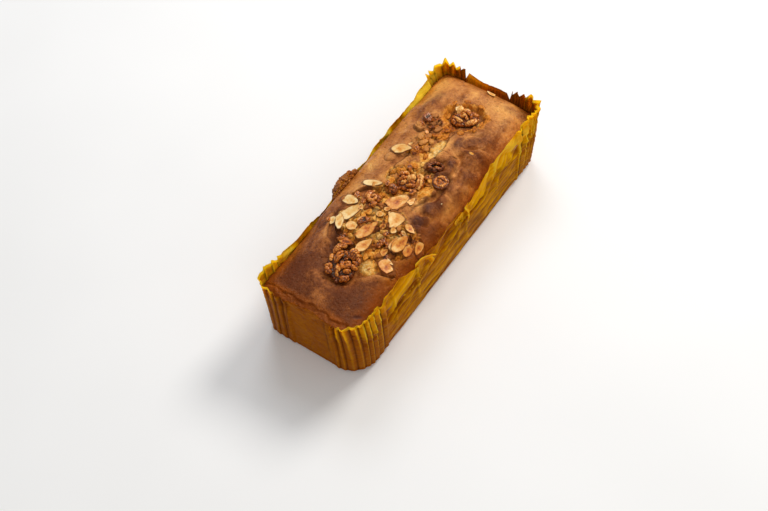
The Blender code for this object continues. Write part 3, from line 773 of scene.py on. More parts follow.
# Dark bruised places: place, half sizes, turn, how dark, and how far they stand up. Two of them are painted
# shade.
BRUISES = (
    (-17.0, -21.0, 5.4, 4.4, 20.0, 0.78, 1.4), (-4.0, -20.5, 5.4, 3.8, 0.0, 0.80, 1.4),
    (32.0, -16.6, 4.6, 3.2, 30.0, 0.74, 0.9), (49.0, -11.0, 6.0, 3.2, -10.0, 0.76, 0.8),
    (23.0, -6.5, 6.6, 4.4, -60.0, 0.80, 0.2), (18.2, -16.9, 6.6, 6.6, 0.0, 0.75, 0.2),
    (11.2, -22.4, 2.0, 1.4, 0.0, 0.7, -0.2), (-59.5, 12.5, 2.8, 2.2, 40.0, 0.75, 0.1),
    (-80.0, -4.5, 3.6, 2.4, -60.0, 0.35, 0.1), (54.0, 19.0, 5.5, 4.0, 60.0, 0.45, 0.3),
    (-20.0, 11.0, 7.0, 6.0, -60.0, 0.45, 0.1), (-37.0, -12.0, 5.0, 3.6, 10.0, 0.45, 0.1),
    (-53.0, -23.0, 6.0, 5.0, -113.0, 0.60, 0.0), (-4.0, 26.0, 10.0, 3.0, 0.0, 0.22, 0.3),
    (60.0, -18.0, 9.0, 3.0, -8.0, 0.42, 0.2), (76.0, 24.0, 8.0, 3.4, -10.0, 0.46, 0.3),
    (84.0, 10.0, 5.0, 3.0, 0.0, 0.34, 0.2), (80.0, -25.0, 9.0, 3.0, 0.0, 0.30, 0.2),
    (52.0, -4.4, 6.0, 2.0, 0.0, 0.40, 0.2), (-91.0, -27.5, 3.4, 1.3, -50.0, 0.95, -0.5),
    (-53.4, -16.2, 3.0, 1.4, 30.0, 0.7, -0.3), (4.0, -27.0, 8.0, 2.4, 0.0, 0.20, 0.2),
    # The places at (97, -24) and (101.5, 0) are painted shade: the shadow at the far right corner and the
    # dark gap under the far wall.
    (-44.0, 30.0, 12.0, 3.0, 0.0, 0.22, 0.1), (97.0, -24.0, 4.0, 9.0, 0.0, 0.40, 0.0),
    (101.5, 0.0, 1.8, 28.0, 0.0, 0.34, 0.0), (64.0, 27.0, 8.0, 2.0, 8.0, 0.34, 0.4),
    (-84.0, -24.0, 7.0, 4.0, 30.0, 0.22, 0.0),
)
# Places paler than the crust round them: place, half sizes, turn, how pale.
PALE_PLACES = (
    (-86.8, -27.0, 2.6, 1.3, -50.0, 0.30), (-79.5, 7.0, 1.4, 6.0, 10.0, 0.20),
    (36.0, -24.0, 10.0, 5.0, 0.0, 0.16), (14.0, -27.5, 5.0, 2.0, 0.0, 0.12),
    (40.0, -13.0, 4.0, 2.0, 30.0, 0.16), (60.0, -16.0, 9.0, 3.0, -20.0, 0.14),
    (60.0, 12.0, 6.0, 4.0, 0.0, 0.14),
)
# Lips, where a sheet of crust ends in a raised edge above a lower place on the left of the line, with a
# painted highlight along the edge and painted shade in the drop: points, how far the lip stands up, how far
# the place beside it drops.
LIPS = (
    (((-73.0, -12.0), (-66.5, -18.0), (-62.3, -22.6), (-60.5, -26.7), (-58.2, -30.7), (-54.0, -32.3)),
     1.3, 1.5),
    (((-49.5, -22.6), (-47.3, -25.8), (-44.0, -28.3), (-37.8, -30.7), (-33.0, -31.0)), 1.2, 1.2),
    (((-8.9, 9.5), (-8.8, 14.0), (-9.3, 19.7), (-13.3, 23.0), (-16.2, 25.0), (-22.0, 27.0)), 1.4, 1.4),
    (((53.7, 15.2), (49.5, 15.0), (46.0, 17.1), (46.7, 21.7), (49.3, 24.4)), 1.1, 1.0),
    (((27.0, -5.5), (35.0, -4.0), (42.0, -5.0), (50.0, -3.6), (57.0, -5.0)), 0.7, 0.6),
    (((10.0, -20.5), (4.0, -16.5), (-2.0, -16.5), (-8.0, -13.0), (-15.0, -13.5)), 0.7, 0.6),
    (((-2.0, 11.0), (5.0, 12.5), (12.0, 13.5), (22.0, 10.5), (29.0, 8.5)), 0.8, 0.7),
    (((-28.0, 28.5), (-40.0, 27.5), (-50.0, 24.5), (-56.5, 20.0), (-57.5, 13.5)), 0.6, 0.5),
    (((-32.0, -23.0), (-25.0, -21.5), (-19.0, -15.5)), 0.7, 0.6),
)
# Cracks: points and how much shade is painted in them.
CRACKS = (
    (((36.0, -12.7), (38.6, -15.8)), 0.9),
    (((47.4, 11.8), (47.1, 9.9), (49.3, 8.3), (54.4, 5.2)), 0.8),
    (((30.0, -4.4), (33.2, -3.6), (37.5, -5.6), (38.3, -8.0)), 0.8),
    (((38.1, 16.9), (41.6, 13.2), (43.7, 9.6)), 0.7),
    (((-55.0, 30.5), (-38.0, 34.5)), 0.3),
)
# A small round hole: place, radius and depth.
PIT = (47.2, -21.6, 1.9, 1.1)
# The hollow round the far walnut, the pale mound beside the near one, and the dark spot on the mound:
# place, half sizes and turn.
CRATER = (70.5, -2.0, 14.0, 11.5, -50.0)
MOUND = (-61.0, -13.8, 6.2, 4.8, 65.0)
MOUND_SPOT = (-59.0, -11.5, 2.6, 2.0, 40.0)
CRATER_DEPTH, CRATER_RIM = 0.9, 1.1
MOUND_LIFT, MOUND_PALE = 0.9, 0.62
# The low ledge at the near end: how wide it is and how far down, and how far the crust stands up
# along the left wall.
NEAR_LEDGE, LEDGE_DROP = 6.0, 0.9
LEFT_LIFT = 2.6
# Zones where the crust is puckered in deep folds, folded more gently, and finely wrinkled: place,
# half sizes, and how sharply the zone ends.
PUCKERED = (20.0, -22.0, 52.0, 12.5, 2)
FOLDED = (62.0, 18.0, 40.0, 12.0, 2)
WRINKLED = (66.0, -24.0, 30.0, 10.0, 1)
# Room between the holes in the crumb and between the pores in the crust.
HOLE_SPACING, PORE_SPACING = 2.6, 5.0
# The crust at a flake: how far under the flake's middle plane it lies, how far above it laps over the
# edge, and how far it is lifted at most.
FLAKE_BED, FLAKE_LAP, FLAKE_REACH = 0.50, 0.75, 2.6
# How much shallower the walnuts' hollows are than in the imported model.
POCKET_LESS = 0.6
# How far the walls lean out where the crust meets them, and the crust's half sizes there.
SIDE_EXTRA = flare(EDGE_RIGHT)
CRUST_LENGTH = HALF_LENGTH + SIDE_EXTRA
CRUST_WIDTH = HALF_WIDTH + SIDE_EXTRA


def patch(x, y, cx, cy, along, across, power):
    """1 in the middle of a zone, falling to 0 round it."""
    return np.exp(-(((x - cx) / along) ** 2 + ((y - cy) / across) ** 2) ** power)


def stain(paint, key, values):
    """Raises a painted value to at least the values given."""
    paint[key] = np.maximum(paint[key], values)


def edge_height(u, v):
    """Height at which the crust meets the walls, for places from -1 to 1 along and across."""
    end = np.where(u < 0, EDGE_NEAR, EDGE_FAR)
    side = np.where(v > 0, EDGE_LEFT, EDGE_RIGHT)
    weight_end = np.abs(u) ** 8
    weight_side = np.abs(v) ** 4
    middle = 0.5 * (EDGE_LEFT + EDGE_RIGHT)
    return middle + (weight_end * (end - middle) + weight_side * (side - middle)) / np.maximum(
        weight_end + weight_side, 1.0)


def dome_height(x, y):
    """Height of the plain domed crust, and its rise from 0 at the walls to 1 at the crown."""
    u = np.clip(x / CRUST_LENGTH, -1.0, 1.0)
    v = np.clip(y / CRUST_WIDTH, -1.0, 1.0)
    edge = edge_height(u, v)
    crown = CROWN_HEIGHT - CROWN_FALL * (u - CROWN_PEAK_X / HALF_LENGTH) ** 2
    rise = (1.0 - np.abs(v) ** 2.3) ** 0.62 * (1.0 - u ** 6) ** 0.5
    return edge + (crown - edge) * rise, rise


def pocket_fields(x, y):
    """For each walnut, how far out each place lies in its oval, and its hollow's depth."""
    for _, cx, cy, along, across, turn, depth in POCKETS:
        yield oval(x, y, cx, cy, 0.5 * along, 0.5 * across, turn), depth


def split_and_pockets(x, y):
    """Depth of the split along the top and of the hollows that the walnuts sit in."""
    middle = np.interp(x, *zip(*SPLIT_LINE))
    ends = ease((x - SPLIT_LINE[0][0]) / SPLIT_ENDS) * ease((SPLIT_LINE[-1][0] - x) / SPLIT_ENDS)
    split = SPLIT_DEPTH * bell(y - middle, SPLIT_HALF_WIDTH) * ends
    pockets = np.zeros(np.shape(x))
    for q, depth in pocket_fields(x, y):
        pockets = np.maximum(pockets, (depth - POCKET_LESS) * np.exp(-(q / POCKET_SPREAD) ** 4))
    return split + pockets


def break_up(x, y, z, paint):
    """Chunks of crust and crumb with painted shade in the gaps between them, in the zones among the
    toppings.
    """
    zone, light = np.zeros(np.shape(x)), np.zeros(np.shape(x))
    wander = 0.22 * mottle(61, x, y, 5.0) + 0.10 * mottle(60, x, y, 2.0)
    for *shape, pale in RUBBLE:
        part = ease((1.0 - oval(x, y, *shape) - wander) / 0.16)
        light = np.where(part > zone, pale, light)
        zone = np.maximum(zone, part)
    # Each chunk has a height and a look of its own; the gaps between them are low, with shade painted in
    # them.
    warp = 1.3 * mottle(62, x, y, 3.5) + 0.9 * mottle(65, x, y, 1.3)
    best, second, value = scatter(63, (x + warp) / CHUNK_LENGTH, (y - warp) / CHUNK_WIDTH)
    border = second - best
    chunk = 1.0 - bell(border, 0.17)
    look = np.mod(value * 7.3, 1.0)
    tops = (value - 0.42) * 1.9 * chunk - 0.8 * (1.0 - chunk)
    z = z + zone * (tops + 0.30 * rough(64, 2, x / 2.0, y / 2.0))
    paint["crumb"] = zone * np.where(look > 0.34, 0.95, 0.30)
    paint["pale"] = light + 0.50 * (look - 0.55)
    stain(paint, "crease", zone * 0.80 * bell(border, 0.11))
    return z


def open_crumb(x, y, z, paint):
    """Crumb patches with a raised shoulder round them and painted shade along their edge, and the granular
    ring of the far crater with painted shade inside it.
    """
    wander = 0.30 * mottle(11, x, y, 3.6) + 0.16 * mottle(12, x, y, 1.5)
    crumb, pale = paint["crumb"], paint["pale"]
    field = np.full(np.shape(x), 9.0)
    for q, light, depth in ovals(x, y, CRUMB_PATCHES, wander):
        part = ease((1.10 - q) / 0.30)
        pale = np.where(part > 0.5 * crumb, light, pale)
        z = z - depth * part
        crumb = np.maximum(crumb, part)
        field = np.minimum(field, q)
    rim = oval(x, y, *CRATER)
    ring = ease((0.20 + 0.4 * wander - np.abs(rim - 1.0)) / 0.14)
    pale = np.where(ring > crumb, 0.30, pale)
    crumb = np.maximum(crumb, 0.9 * ring)
    z = z + CRATER_RIM * bell(rim - 1.08, 0.12) * (0.75 + 0.5 * mottle(13, x, y, 3.0))
    inside = ease((1.0 - rim) / 0.2)
    z = z - CRATER_DEPTH * inside
    # Painted shade inside the crater round the far walnut.
    stain(paint, "char_and_shade", 0.35 * inside)
    shoulder = bell(field - 1.26, 0.13)
    # Painted shade in the crease along each patch's edge.
    crease = 0.7 * bell(field - 1.09, 0.05) * ease(0.5 + 1.2 * mottle(14, x, y, 4.0))
    z = z + 0.45 * shoulder * ease(0.6 + 1.4 * mottle(15, x, y, 5.0)) - 0.35 * crease
    paint.update(crumb=crumb, pale=pale, crease=np.maximum(paint["crease"], crease))
    return z


def raise_lips(x, y, z, paint):
    """Raised lips with a painted highlight along them and painted shade in the drop beside them, and fine
    cracks with painted shade.
    """
    for points, height, drop in LIPS:
        away, along, side = line_distance(x, y, points)
        taper = ease(along / 0.15) * ease((1.0 - along) / 0.15)
        signed = side * away + 0.5 * mottle(16, x, y, 3.0)
        z = z + height * taper * bell(signed, np.where(signed < 0.0, 3.2, 0.45))
        z = z - drop * taper * ease(signed / 0.9) * bell(np.maximum(signed, 0.0), 4.5)
        # Painted shade in the drop beside the lip, and a painted highlight along its edge.
        stain(paint, "crease", 0.62 * (bell(signed - 1.0, 0.7) * taper))
        stain(paint, "light", 0.55 * taper * bell(signed + 0.9, 1.6))
    for points, dark in CRACKS:
        away, along, _ = line_distance(x, y, points)
        line = bell(away + 0.25 * mottle(19, x, y, 1.5), 0.45)
        z = z - 0.4 * line
        # Painted shade in the crack.
        stain(paint, "crease", dark * line)
    return z


def raise_blisters(x, y, z, paint):
    """Round blisters, each with a dark line of painted shade round it."""
    for cx, cy, radius, height in BLISTERS:
        q = np.hypot(x - cx, y - cy) / radius + 0.10 * mottle(17, x, y, 2.0)
        z = z + height * np.clip(1.0 - q * q, 0.0, 1.0) ** 0.7
        line = bell(q - 1.02, 0.06)
        z = z - 0.30 * line
        stain(paint, "crease", 0.45 * line)
    return z


def bruise(x, y, z, level, paint):
    """Dark bruised places, two of them painted shade, the pale mound that stands clear of them, and the pit.
    """
    for q, dark, height in ovals(x, y, BRUISES, 0.25 * mottle(18, x, y, 3.0)):
        stain(paint, "char_and_shade", dark * ease((1.45 - q) / 1.1))
        z = z + height * bell(q, 0.8)
    mound = np.exp(-oval(x, y, *MOUND) ** 4)
    z = z + mound * (level + MOUND_LIFT - z)
    paint["crease"] = paint["crease"] * (1.0 - 0.85 * mound)
    paint["smooth"] = mound
    paint["pale"] = paint["pale"] + mound * (MOUND_PALE - paint["pale"])
    stain(paint, "crumb", mound)
    stain(paint, "char_and_shade", 0.25 * np.exp(-oval(x, y, *MOUND_SPOT) ** 2))
    cx, cy, radius, depth = PIT
    q = np.hypot(x - cx, y - cy) / radius
    z = z - depth * np.exp(-q ** 4)
    stain(paint, "crumb", ease((0.9 - q) / 0.3))
    paint["pale"] = np.where(q < 1.0, 0.55, paint["pale"])
    stain(paint, "char_and_shade", 0.4 * bell(q - 1.2, 0.25))
    return z


def add_grain(x, y, z, paint):
    """Lumps and holes in the crumb, pores and small wrinkles in the crust, with painted shade in the holes
    and pores.
    """
    crumb = paint["crumb"] * (1.0 - 0.8 * paint["smooth"])
    coarse = crumb * (1.0 - 0.55 * ease((paint["pale"] - 0.25) / 0.2))
    hole, _, value = scatter(24, x / HOLE_SPACING, y / HOLE_SPACING)
    holes = bell(hole, 0.16 + 0.16 * value) * (value > 0.3)
    z = z - coarse * 0.8 * holes + crumb * 0.30 * rough(27, 3, x / 2.6, y / 2.6)
    z = z + coarse * 0.45 * np.abs(mottle(28, x, y, 2.2))
    pore, _, value = scatter(21, x / PORE_SPACING, y / PORE_SPACING)
    pores = bell(pore, 0.07 + 0.05 * value) * (value > 0.25) * (1.0 - crumb)
    z = z - 0.35 * pores + (1.0 - crumb) * 0.09 * rough(31, 3, x / 1.9, y / 1.9)
    warp = 3.0 * mottle(33, x, y, 9.0)
    wrinkle = np.abs(noise(34, (x + warp) / 3.4, (y + 0.3 * x - warp) / 1.5))
    z = z + (1.0 - crumb) * 0.16 * (0.35 + patch(x, y, *WRINKLED)) * wrinkle
    stain(paint, "crease", np.maximum(0.60 * coarse * holes, 0.55 * pores))
    return z


def flake_fields(x, y):
    """For each flake, the height of its middle plane, and how far out each place lies in its oval."""
    for number, length, width, *_ in FLAKES:
        at, forward, sideways, up = FLAKE_PLACES[number]
        dx, dy = x - at[0], y - at[1]
        plane = at[2] - (dx * up[0] + dy * up[1]) / up[2]
        q = np.hypot((dx * forward[0] + dy * forward[1]) / (0.5 * length),
                     (dx * sideways[0] + dy * sideways[1]) / (0.5 * width))
        yield plane, q


def carry_flakes(x, y, z, paint):
    """The crust meets the underside of each flake, laps over parts of the flake's edge, and has shade
    painted in a ring round it.
    """
    ceiling = np.full(np.shape(x), 1e9)
    lifted = z
    for index, (plane, q) in enumerate(flake_fields(x, y)):
        # A bed under the flake, whose edge slopes away round it.
        under = plane - FLAKE_BED
        bed = under - 3.2 * np.maximum(q - 0.92, 0.0) - 6.0 * np.maximum(q - 1.15, 0.0)
        lifted = np.maximum(lifted, np.where(bed - z < FLAKE_REACH, bed, z))
        # A bank that laps over parts of the edge, and slopes away on both sides.
        lap = ease(2.2 * mottle(400 + index, x, y, 5.0) - 0.2)
        bank = plane + FLAKE_LAP - 9.0 * np.maximum(q - 1.04, 0.0) - 14.0 * np.maximum(0.94 - q, 0.0)
        lifted = np.maximum(lifted, np.where(bank - z < FLAKE_REACH, lap * bank + (1.0 - lap) * z, z))
        ceiling = np.where(q < 1.04 - 0.15 * lap, np.minimum(ceiling, under), ceiling)
        # Painted shade round the flake's edge, less where the crust laps over it.
        stain(paint, "crease", 0.75 * (bell(q - 1.07, 0.07) * (1.0 - 0.5 * lap)))
    return np.minimum(lifted, ceiling)


def bake_tones(x, y, paint):
    """How brown the crust is baked, lighter along the lips as a painted highlight, and the orange-brown
    bands along its edges.
    """
    from_near, from_far = CRUST_LENGTH + x, CRUST_LENGTH - x
    from_right, from_left = CRUST_WIDTH + y, CRUST_WIDTH - y
    bake_and_highlight = 0.65 - 0.15 * (x / HALF_LENGTH) - 0.12 * ease((x - 55.0) / 45.0) + 0.04 * ease((y - 8.0) / 14.0)
    bake_and_highlight = bake_and_highlight + 0.16 * rough(36, 2, x / 17.0, y / 13.0) + 0.13 * ease((-60.0 - x) / 25.0)
    bake_and_highlight = bake_and_highlight + (0.11 - 0.09 * ease((-50.0 - x) / 15.0)) * rough(45, 2, x / 7.0, y / 5.5)
    bake_and_highlight = bake_and_highlight + 0.12 * bell(y + 28.0, 9.0) * ease((24.0 - x) / 20.0)
    bake_and_highlight = bake_and_highlight - 0.18 * bell(y - 30.0, 6.0) * ease((x + 30.0) / 30.0)
    for *shape, light in PALE_PLACES:
        q = oval(x, y, *shape) + 0.3 * mottle(37, x, y, 3.0)
        bake_and_highlight = bake_and_highlight - light * np.exp(-q ** 2)
    bake_and_highlight = bake_and_highlight + 0.06 * ease((NEAR_LEDGE - from_near) / 1.6)
    bake_and_highlight = bake_and_highlight + 0.12 * ease((14.0 - from_far) / 8.0) + 0.26 * ease((4.0 - from_far) / 3.0)
    bake_and_highlight = bake_and_highlight + 0.16 * ease((2.0 - from_left) / 2.0)
    bake_and_highlight = bake_and_highlight + 0.05 * ease((-20.0 - y) / 8.0) * ease((70.0 - x) / 20.0)
    reach = 10.0 * (1.0 + 0.5 * ease((20.0 - x) / 30.0))
    right = (0.9 - 0.3 * ease((x + 30.0) / 20.0)) * ease((reach - from_right) / 8.0)
    gold = np.maximum.reduce((right, 0.95 * ease((10.0 - from_near) / 4.0),
                              0.85 * ease((9.0 - from_left) / 6.0), 0.75 * ease((9.0 - from_far) / 7.0)))
    # The lips' edges are painted lighter as highlights.
    paint["bake_and_highlight"] = bake_and_highlight + 0.40 * paint["swell"] - 0.32 * paint["light"]
    paint["gold"] = np.clip(gold * (0.85 + 0.35 * mottle(38, x, y, 4.0)), 0.0, 1.0)


# The values painted on crust, and what they are below the crust's edge.
CRUST_VALUES = {"bake_and_highlight": 0.45, "crumb": 0.15, "pale": 0.2, "char_and_shade": 0.0, "crease": 0.0, "gold": 0.6}


def crust(x, y):
    """Height of the crust and its painted values at places in millimetres."""
    z, rise = dome_height(x, y)
    # The light value holds the painted highlights along the lips.
    paint = {key: np.zeros(np.shape(x)) for key in (*CRUST_VALUES, "light")}
    swell = 0.55 * rough(1, 3, x / 26.0, y / 22.0) + 0.22 * rough(5, 2, x / 8.0, y / 8.0)
    puckered = patch(x, y, *PUCKERED)
    bulge = np.minimum(2.3 * np.abs(noise(66, x / 10.0 + 0.3 * y / 10.0, y / 8.0)), 1.0) ** 0.8 - 0.55
    swell = swell + puckered * (2.8 * bulge + 1.7 * noise(67, x / 5.0, y / 4.2))
    folds = 1.5 * noise(68, x / 9.0, y / 6.0) + 0.7 * noise(69, x / 4.0, y / 3.4)
    swell = swell + patch(x, y, *FOLDED) * folds
    paint["swell"] = puckered * bulge
    z = z + ease(rise / 0.4) * swell - split_and_pockets(x, y)
    level = z
    z = z + LEFT_LIFT * bell(CRUST_WIDTH - y, 7.0) * ease((x + 60.0) / 20.0) * ease((76.0 - x) / 14.0)
    z = break_up(x, y, z, paint)
    z = open_crumb(x, y, z, paint)
    z = raise_lips(x, y, z, paint)
    z = raise_blisters(x, y, z, paint)
    z = bruise(x, y, z, level, paint)
    ledge = ease((NEAR_LEDGE - CRUST_LENGTH - x + 1.4 * noise(39, y / 5.0, 0.0 * y)) / 1.2)
    z = z - ledge * (LEDGE_DROP - 0.38 * rough(41, 2, x / 2.6, y / 3.4))
    # Painted shade at the foot of the near ledge.
    foot = bell(ledge - 0.5, 0.25) * ease(0.3 + noise(42, y / 6.0, x / 6.0))
    stain(paint, "crease", 0.36 * foot)
    z = add_grain(x, y, z, paint)
    z = carry_flakes(x, y, z, paint)
    bake_tones(x, y, paint)
    for key in ("light", "swell", "smooth"):
        paint.pop(key)
    paint["crease"] = np.clip(paint["crease"], 0.0, 1.0)
    return z, paint


# Points of the crust's grid along and across.
CAKE_COLUMNS = 496
CAKE_ROWS = 168
# The sides below the crust: how many rings of points, how far in they stand, how closely the first
# rings keep to the top, and the height of the bottom.
SIDE_LEVELS = 4
SIDE_INSET = 2.4
SIDE_DROP = 2.5
CAKE_BOTTOM = 0.85


def make_cake():
    near_right, far_right, far_left, near_left = (place_round(corner) for corner, *_ in CORNERS)

    def edge(s):
        """The crust's edge at distances s, pressed out into the pleats."""
        rise, depth, *_ = pleats_at(s)
        bulge = 0.40 * rise * depth + 0.18 * noise(44, s / 4.0)
        return np.stack(outline(s, SIDE_EXTRA + 0.30 + np.maximum(bulge, -0.1)), -1)

    u = np.linspace(0.0, 1.0, CAKE_COLUMNS)
    v = np.linspace(0.0, 1.0, CAKE_ROWS)
    right = edge(near_right + u * (far_right - near_right))
    left = edge(near_left + u * (far_left - near_left))
    near = edge(near_right + v * (near_left - PERIMETER - near_right))
    far = edge(far_right + v * (far_left - far_right))
    uu, vv = u[:, None, None], v[None, :, None]
    sides = (1 - vv) * right[:, None] + vv * left[:, None] + (1 - uu) * near[None] + uu * far[None]
    corners = ((1 - uu) * (1 - vv) * right[0] + uu * (1 - vv) * right[-1]
               + (1 - uu) * vv * left[0] + uu * vv * left[-1])
    place = sides - corners
    x, y = place[..., 0], place[..., 1]
    z, values = crust(x, y)
    points = np.stack((x, y, z), -1).reshape(-1, 3)
    faces = grid_faces(CAKE_COLUMNS, CAKE_ROWS, flip=True)

    # The sides below the crust's edge, ring by ring, and the bottom.
    start = len(points)
    previous = grid_border(CAKE_COLUMNS, CAKE_ROWS)
    top = points[previous]
    layers = [points]
    for level in range(1, SIDE_LEVELS + 1):
        height = top[:, 2] + (CAKE_BOTTOM - top[:, 2]) * (level / SIDE_LEVELS) ** SIDE_DROP
        inset = (SIDE_EXTRA - flare(height)) + SIDE_INSET + BOTTOM_ROUNDING * (level == SIDE_LEVELS)
        layers.append(np.column_stack((top[:, 0] * (1.0 - inset / HALF_LENGTH),
                                       top[:, 1] * (1.0 - inset / HALF_WIDTH), height)))
        current = [start + (level - 1) * len(top) + k for k in range(len(top))]
        faces += [(previous[k], current[k], current[m], previous[m]) for k, m in around(len(top))]
        previous = current
    points = np.vstack(layers + [np.array([[0.0, 0.0, CAKE_BOTTOM]])])
    faces += [(previous[m], previous[k], len(points) - 1) for k, m in around(len(top))]
    values = {key: np.concatenate((value.ravel(), np.full(len(points) - start, CRUST_VALUES[key])))
              for key, value in values.items()}
    cake = make_mesh("cake_loaf", points, faces, CRUST, values)
    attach(cake, "root")
    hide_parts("cake")


make_cake()

# ---------------------------------------------------------------- the paper case

# Tears and notches in the rim: side, place, depth, half width.
TEARS = (
    ("far", 20.9, 8.5, 2.2), ("far", -14.2, 6.5, 1.5), ("right", 11.0, 3.2, 1.8),
    ("right", -34.0, 4.0, 5.0), ("near", 23.0, 2.0, 1.2), ("right", 30.0, 1.0, 1.0),
    ("left", 60.0, 1.5, 1.2), ("left", -40.0, 1.6, 1.6),
)
# Room between the wall's columns in the pleats and elsewhere, and its rows from base to rim.
PLEAT_STEP = 0.45
PLAIN_STEP = 1.05
WALL_ROWS = 90
PAPER_THICKNESS = 0.22
# The inner skin: how far up it starts to follow the outer one, how many rows follow it closely near
# the rim, and how far back it stands below.
INSIDE_FROM = 0.55
RIM_ROWS = 20
INSIDE_INSET = 2.4
# How brightly the light comes through the pleats' tips, which are also painted paler as a glow, and how dry
# the band below them is where the painted highlights on their crests and the glow at their tips start.
THIN_TIPS = 1.5
BRIGHT_FROM = 0.48
BRIGHT_SPAN = 0.14


def wall_places():
    """Distances round the outline for the wall's columns, closer together in the pleats."""
    places = []
    s = 0.0
    zones = [(place_round(corner), before, after) for corner, before, after, *_ in PLEATS]
    while s < PERIMETER - 0.3 * PLEAT_STEP:
        places.append(s)
        pleated = any(-before <= round_away(s, middle) <= after for middle, before, after in zones)
        s += PLEAT_STEP if pleated else PLAIN_STEP
    return np.array(places)


def rim_top(s):
    """Height of the rim with its pleat tips, ragged edge and tears."""
    rise, depth, _, tip, *_ = pleats_at(s)
    top = round_value(RIM, 2, s) + tip * (rise ** 1.4 - 0.5)
    top = top + 0.35 * rough(71, 2, s / 5.0, 0.0 * s) + 0.70 * noise(72, s / 1.7) * (depth > 0.3)
    for side, along, deep, half in TEARS:
        away = np.abs(round_away(s, place_round(side, along)))
        top = top - deep * np.clip(1.0 - away / half, 0.0, 1.0) ** 0.7
    return top


def ridges(seed, *places):
    """Sharp ridges from 0 to 1 on smooth noise."""
    return np.clip(1.0 - 2.4 * np.abs(noise(seed, *places)), 0.0, 1.0)


def zigzag(t):
    """Rises and falls from 0 to 1 in straight lines, so both its crests and its valleys are sharp."""
    return np.abs(2.0 * (t - np.floor(t)) - 1.0)


def creases(s, z, start, wrinkled):
    """Folds of the wall's paper: how far they stand out, the highlight painted on their crests and the shade
    painted in their hollows.
    """
    slant = z / 26.0
    # Sharp small folds below the dry band, and the shelf where it starts.
    long_folds = ridges(84, s / 19.0 + slant, z / 3.6)
    short_folds = ridges(85, s / 7.0 - slant, z / 2.1)
    below = ease((start + 1.5 - z) / 3.0) * ease(z / 5.0)
    level = z - start - 1.2 * noise(86, s / 22.0)
    shelf = 0.75 * bell(level + 1.2, 1.5) - 0.55 * bell(level + 5.0, 2.4)
    out = wrinkled * (shelf + below * (0.65 * long_folds + 0.28 * short_folds - 0.25))
    above = ease((z - start + 18.0) / 8.0) * np.minimum(wrinkled + 0.3, 1.0)
    # Large facets with sharp crests and valleys.
    broad = zigzag(z / 15.0 - s / 38.0 + 0.8 * noise(88, s / 24.0, z / 18.0))
    narrow = zigzag(z / 6.5 - s / 17.0 + 0.9 * noise(89, s / 12.0, z / 9.0))
    out = out + above * (1.7 * broad + 0.7 * narrow - 1.2)
    crumple = 0.50 * noise(81, s / 17.0, z / 15.0) + 0.22 * ridges(82, s / 9.0, z / 7.0)
    out = out + crumple * ease(z / 8.0) * 0.8
    # Painted light on the folds: highlights on crests and ridges, shade in troughs.
    crests = np.maximum(broad ** 6, 0.7 * narrow ** 5)
    troughs = (1.0 - broad) ** 3 + 0.6 * (1.0 - narrow) ** 3
    light = wrinkled * below * (0.30 * long_folds + 0.18 * short_folds)
    light = light + above * (0.10 * broad + 0.30 * crests - 0.30 * troughs - 0.12)
    # Painted shade in the hollows between the small folds and under the shelf.
    hollow_shade = (1.0 - long_folds) ** 4 * ridges(87, s / 24.0 + slant, z / 3.0)
    dark = wrinkled * (0.55 * below * hollow_shade + 0.22 * bell(level + 4.2, 1.2))
    # Folds that run up the wall, each with a painted highlight on its ridge and painted shade in the hollow
    # on one side.
    for side, top, bottom, height, shine, shade in FOLDS:
        upper, lower = place_round(side, top), place_round(side, bottom)
        line = upper + (lower - upper) * (1.0 - z / FLARE_HEIGHT)
        away = round_away(s, line)
        strength = ease((z - 4.0) / 20.0)
        crest = bell(away, 0.9) * strength
        out = out + height * crest
        light = light + shine * crest
        beside = bell(np.abs(away) - 1.7, 0.7)
        dark = np.maximum(dark, shade * beside * strength * (away < 0.0))
    return out, light, dark


def grid_normals(grid, wrap):
    """Outward normals of a grid of points stored as rows of columns."""
    if wrap:
        along = np.roll(grid, -1, 1) - np.roll(grid, 1, 1)
    else:
        along = np.gradient(grid, axis=1)
    normal = np.cross(along, np.gradient(grid, axis=0))
    return normal / np.linalg.norm(normal, axis=-1)[..., None]


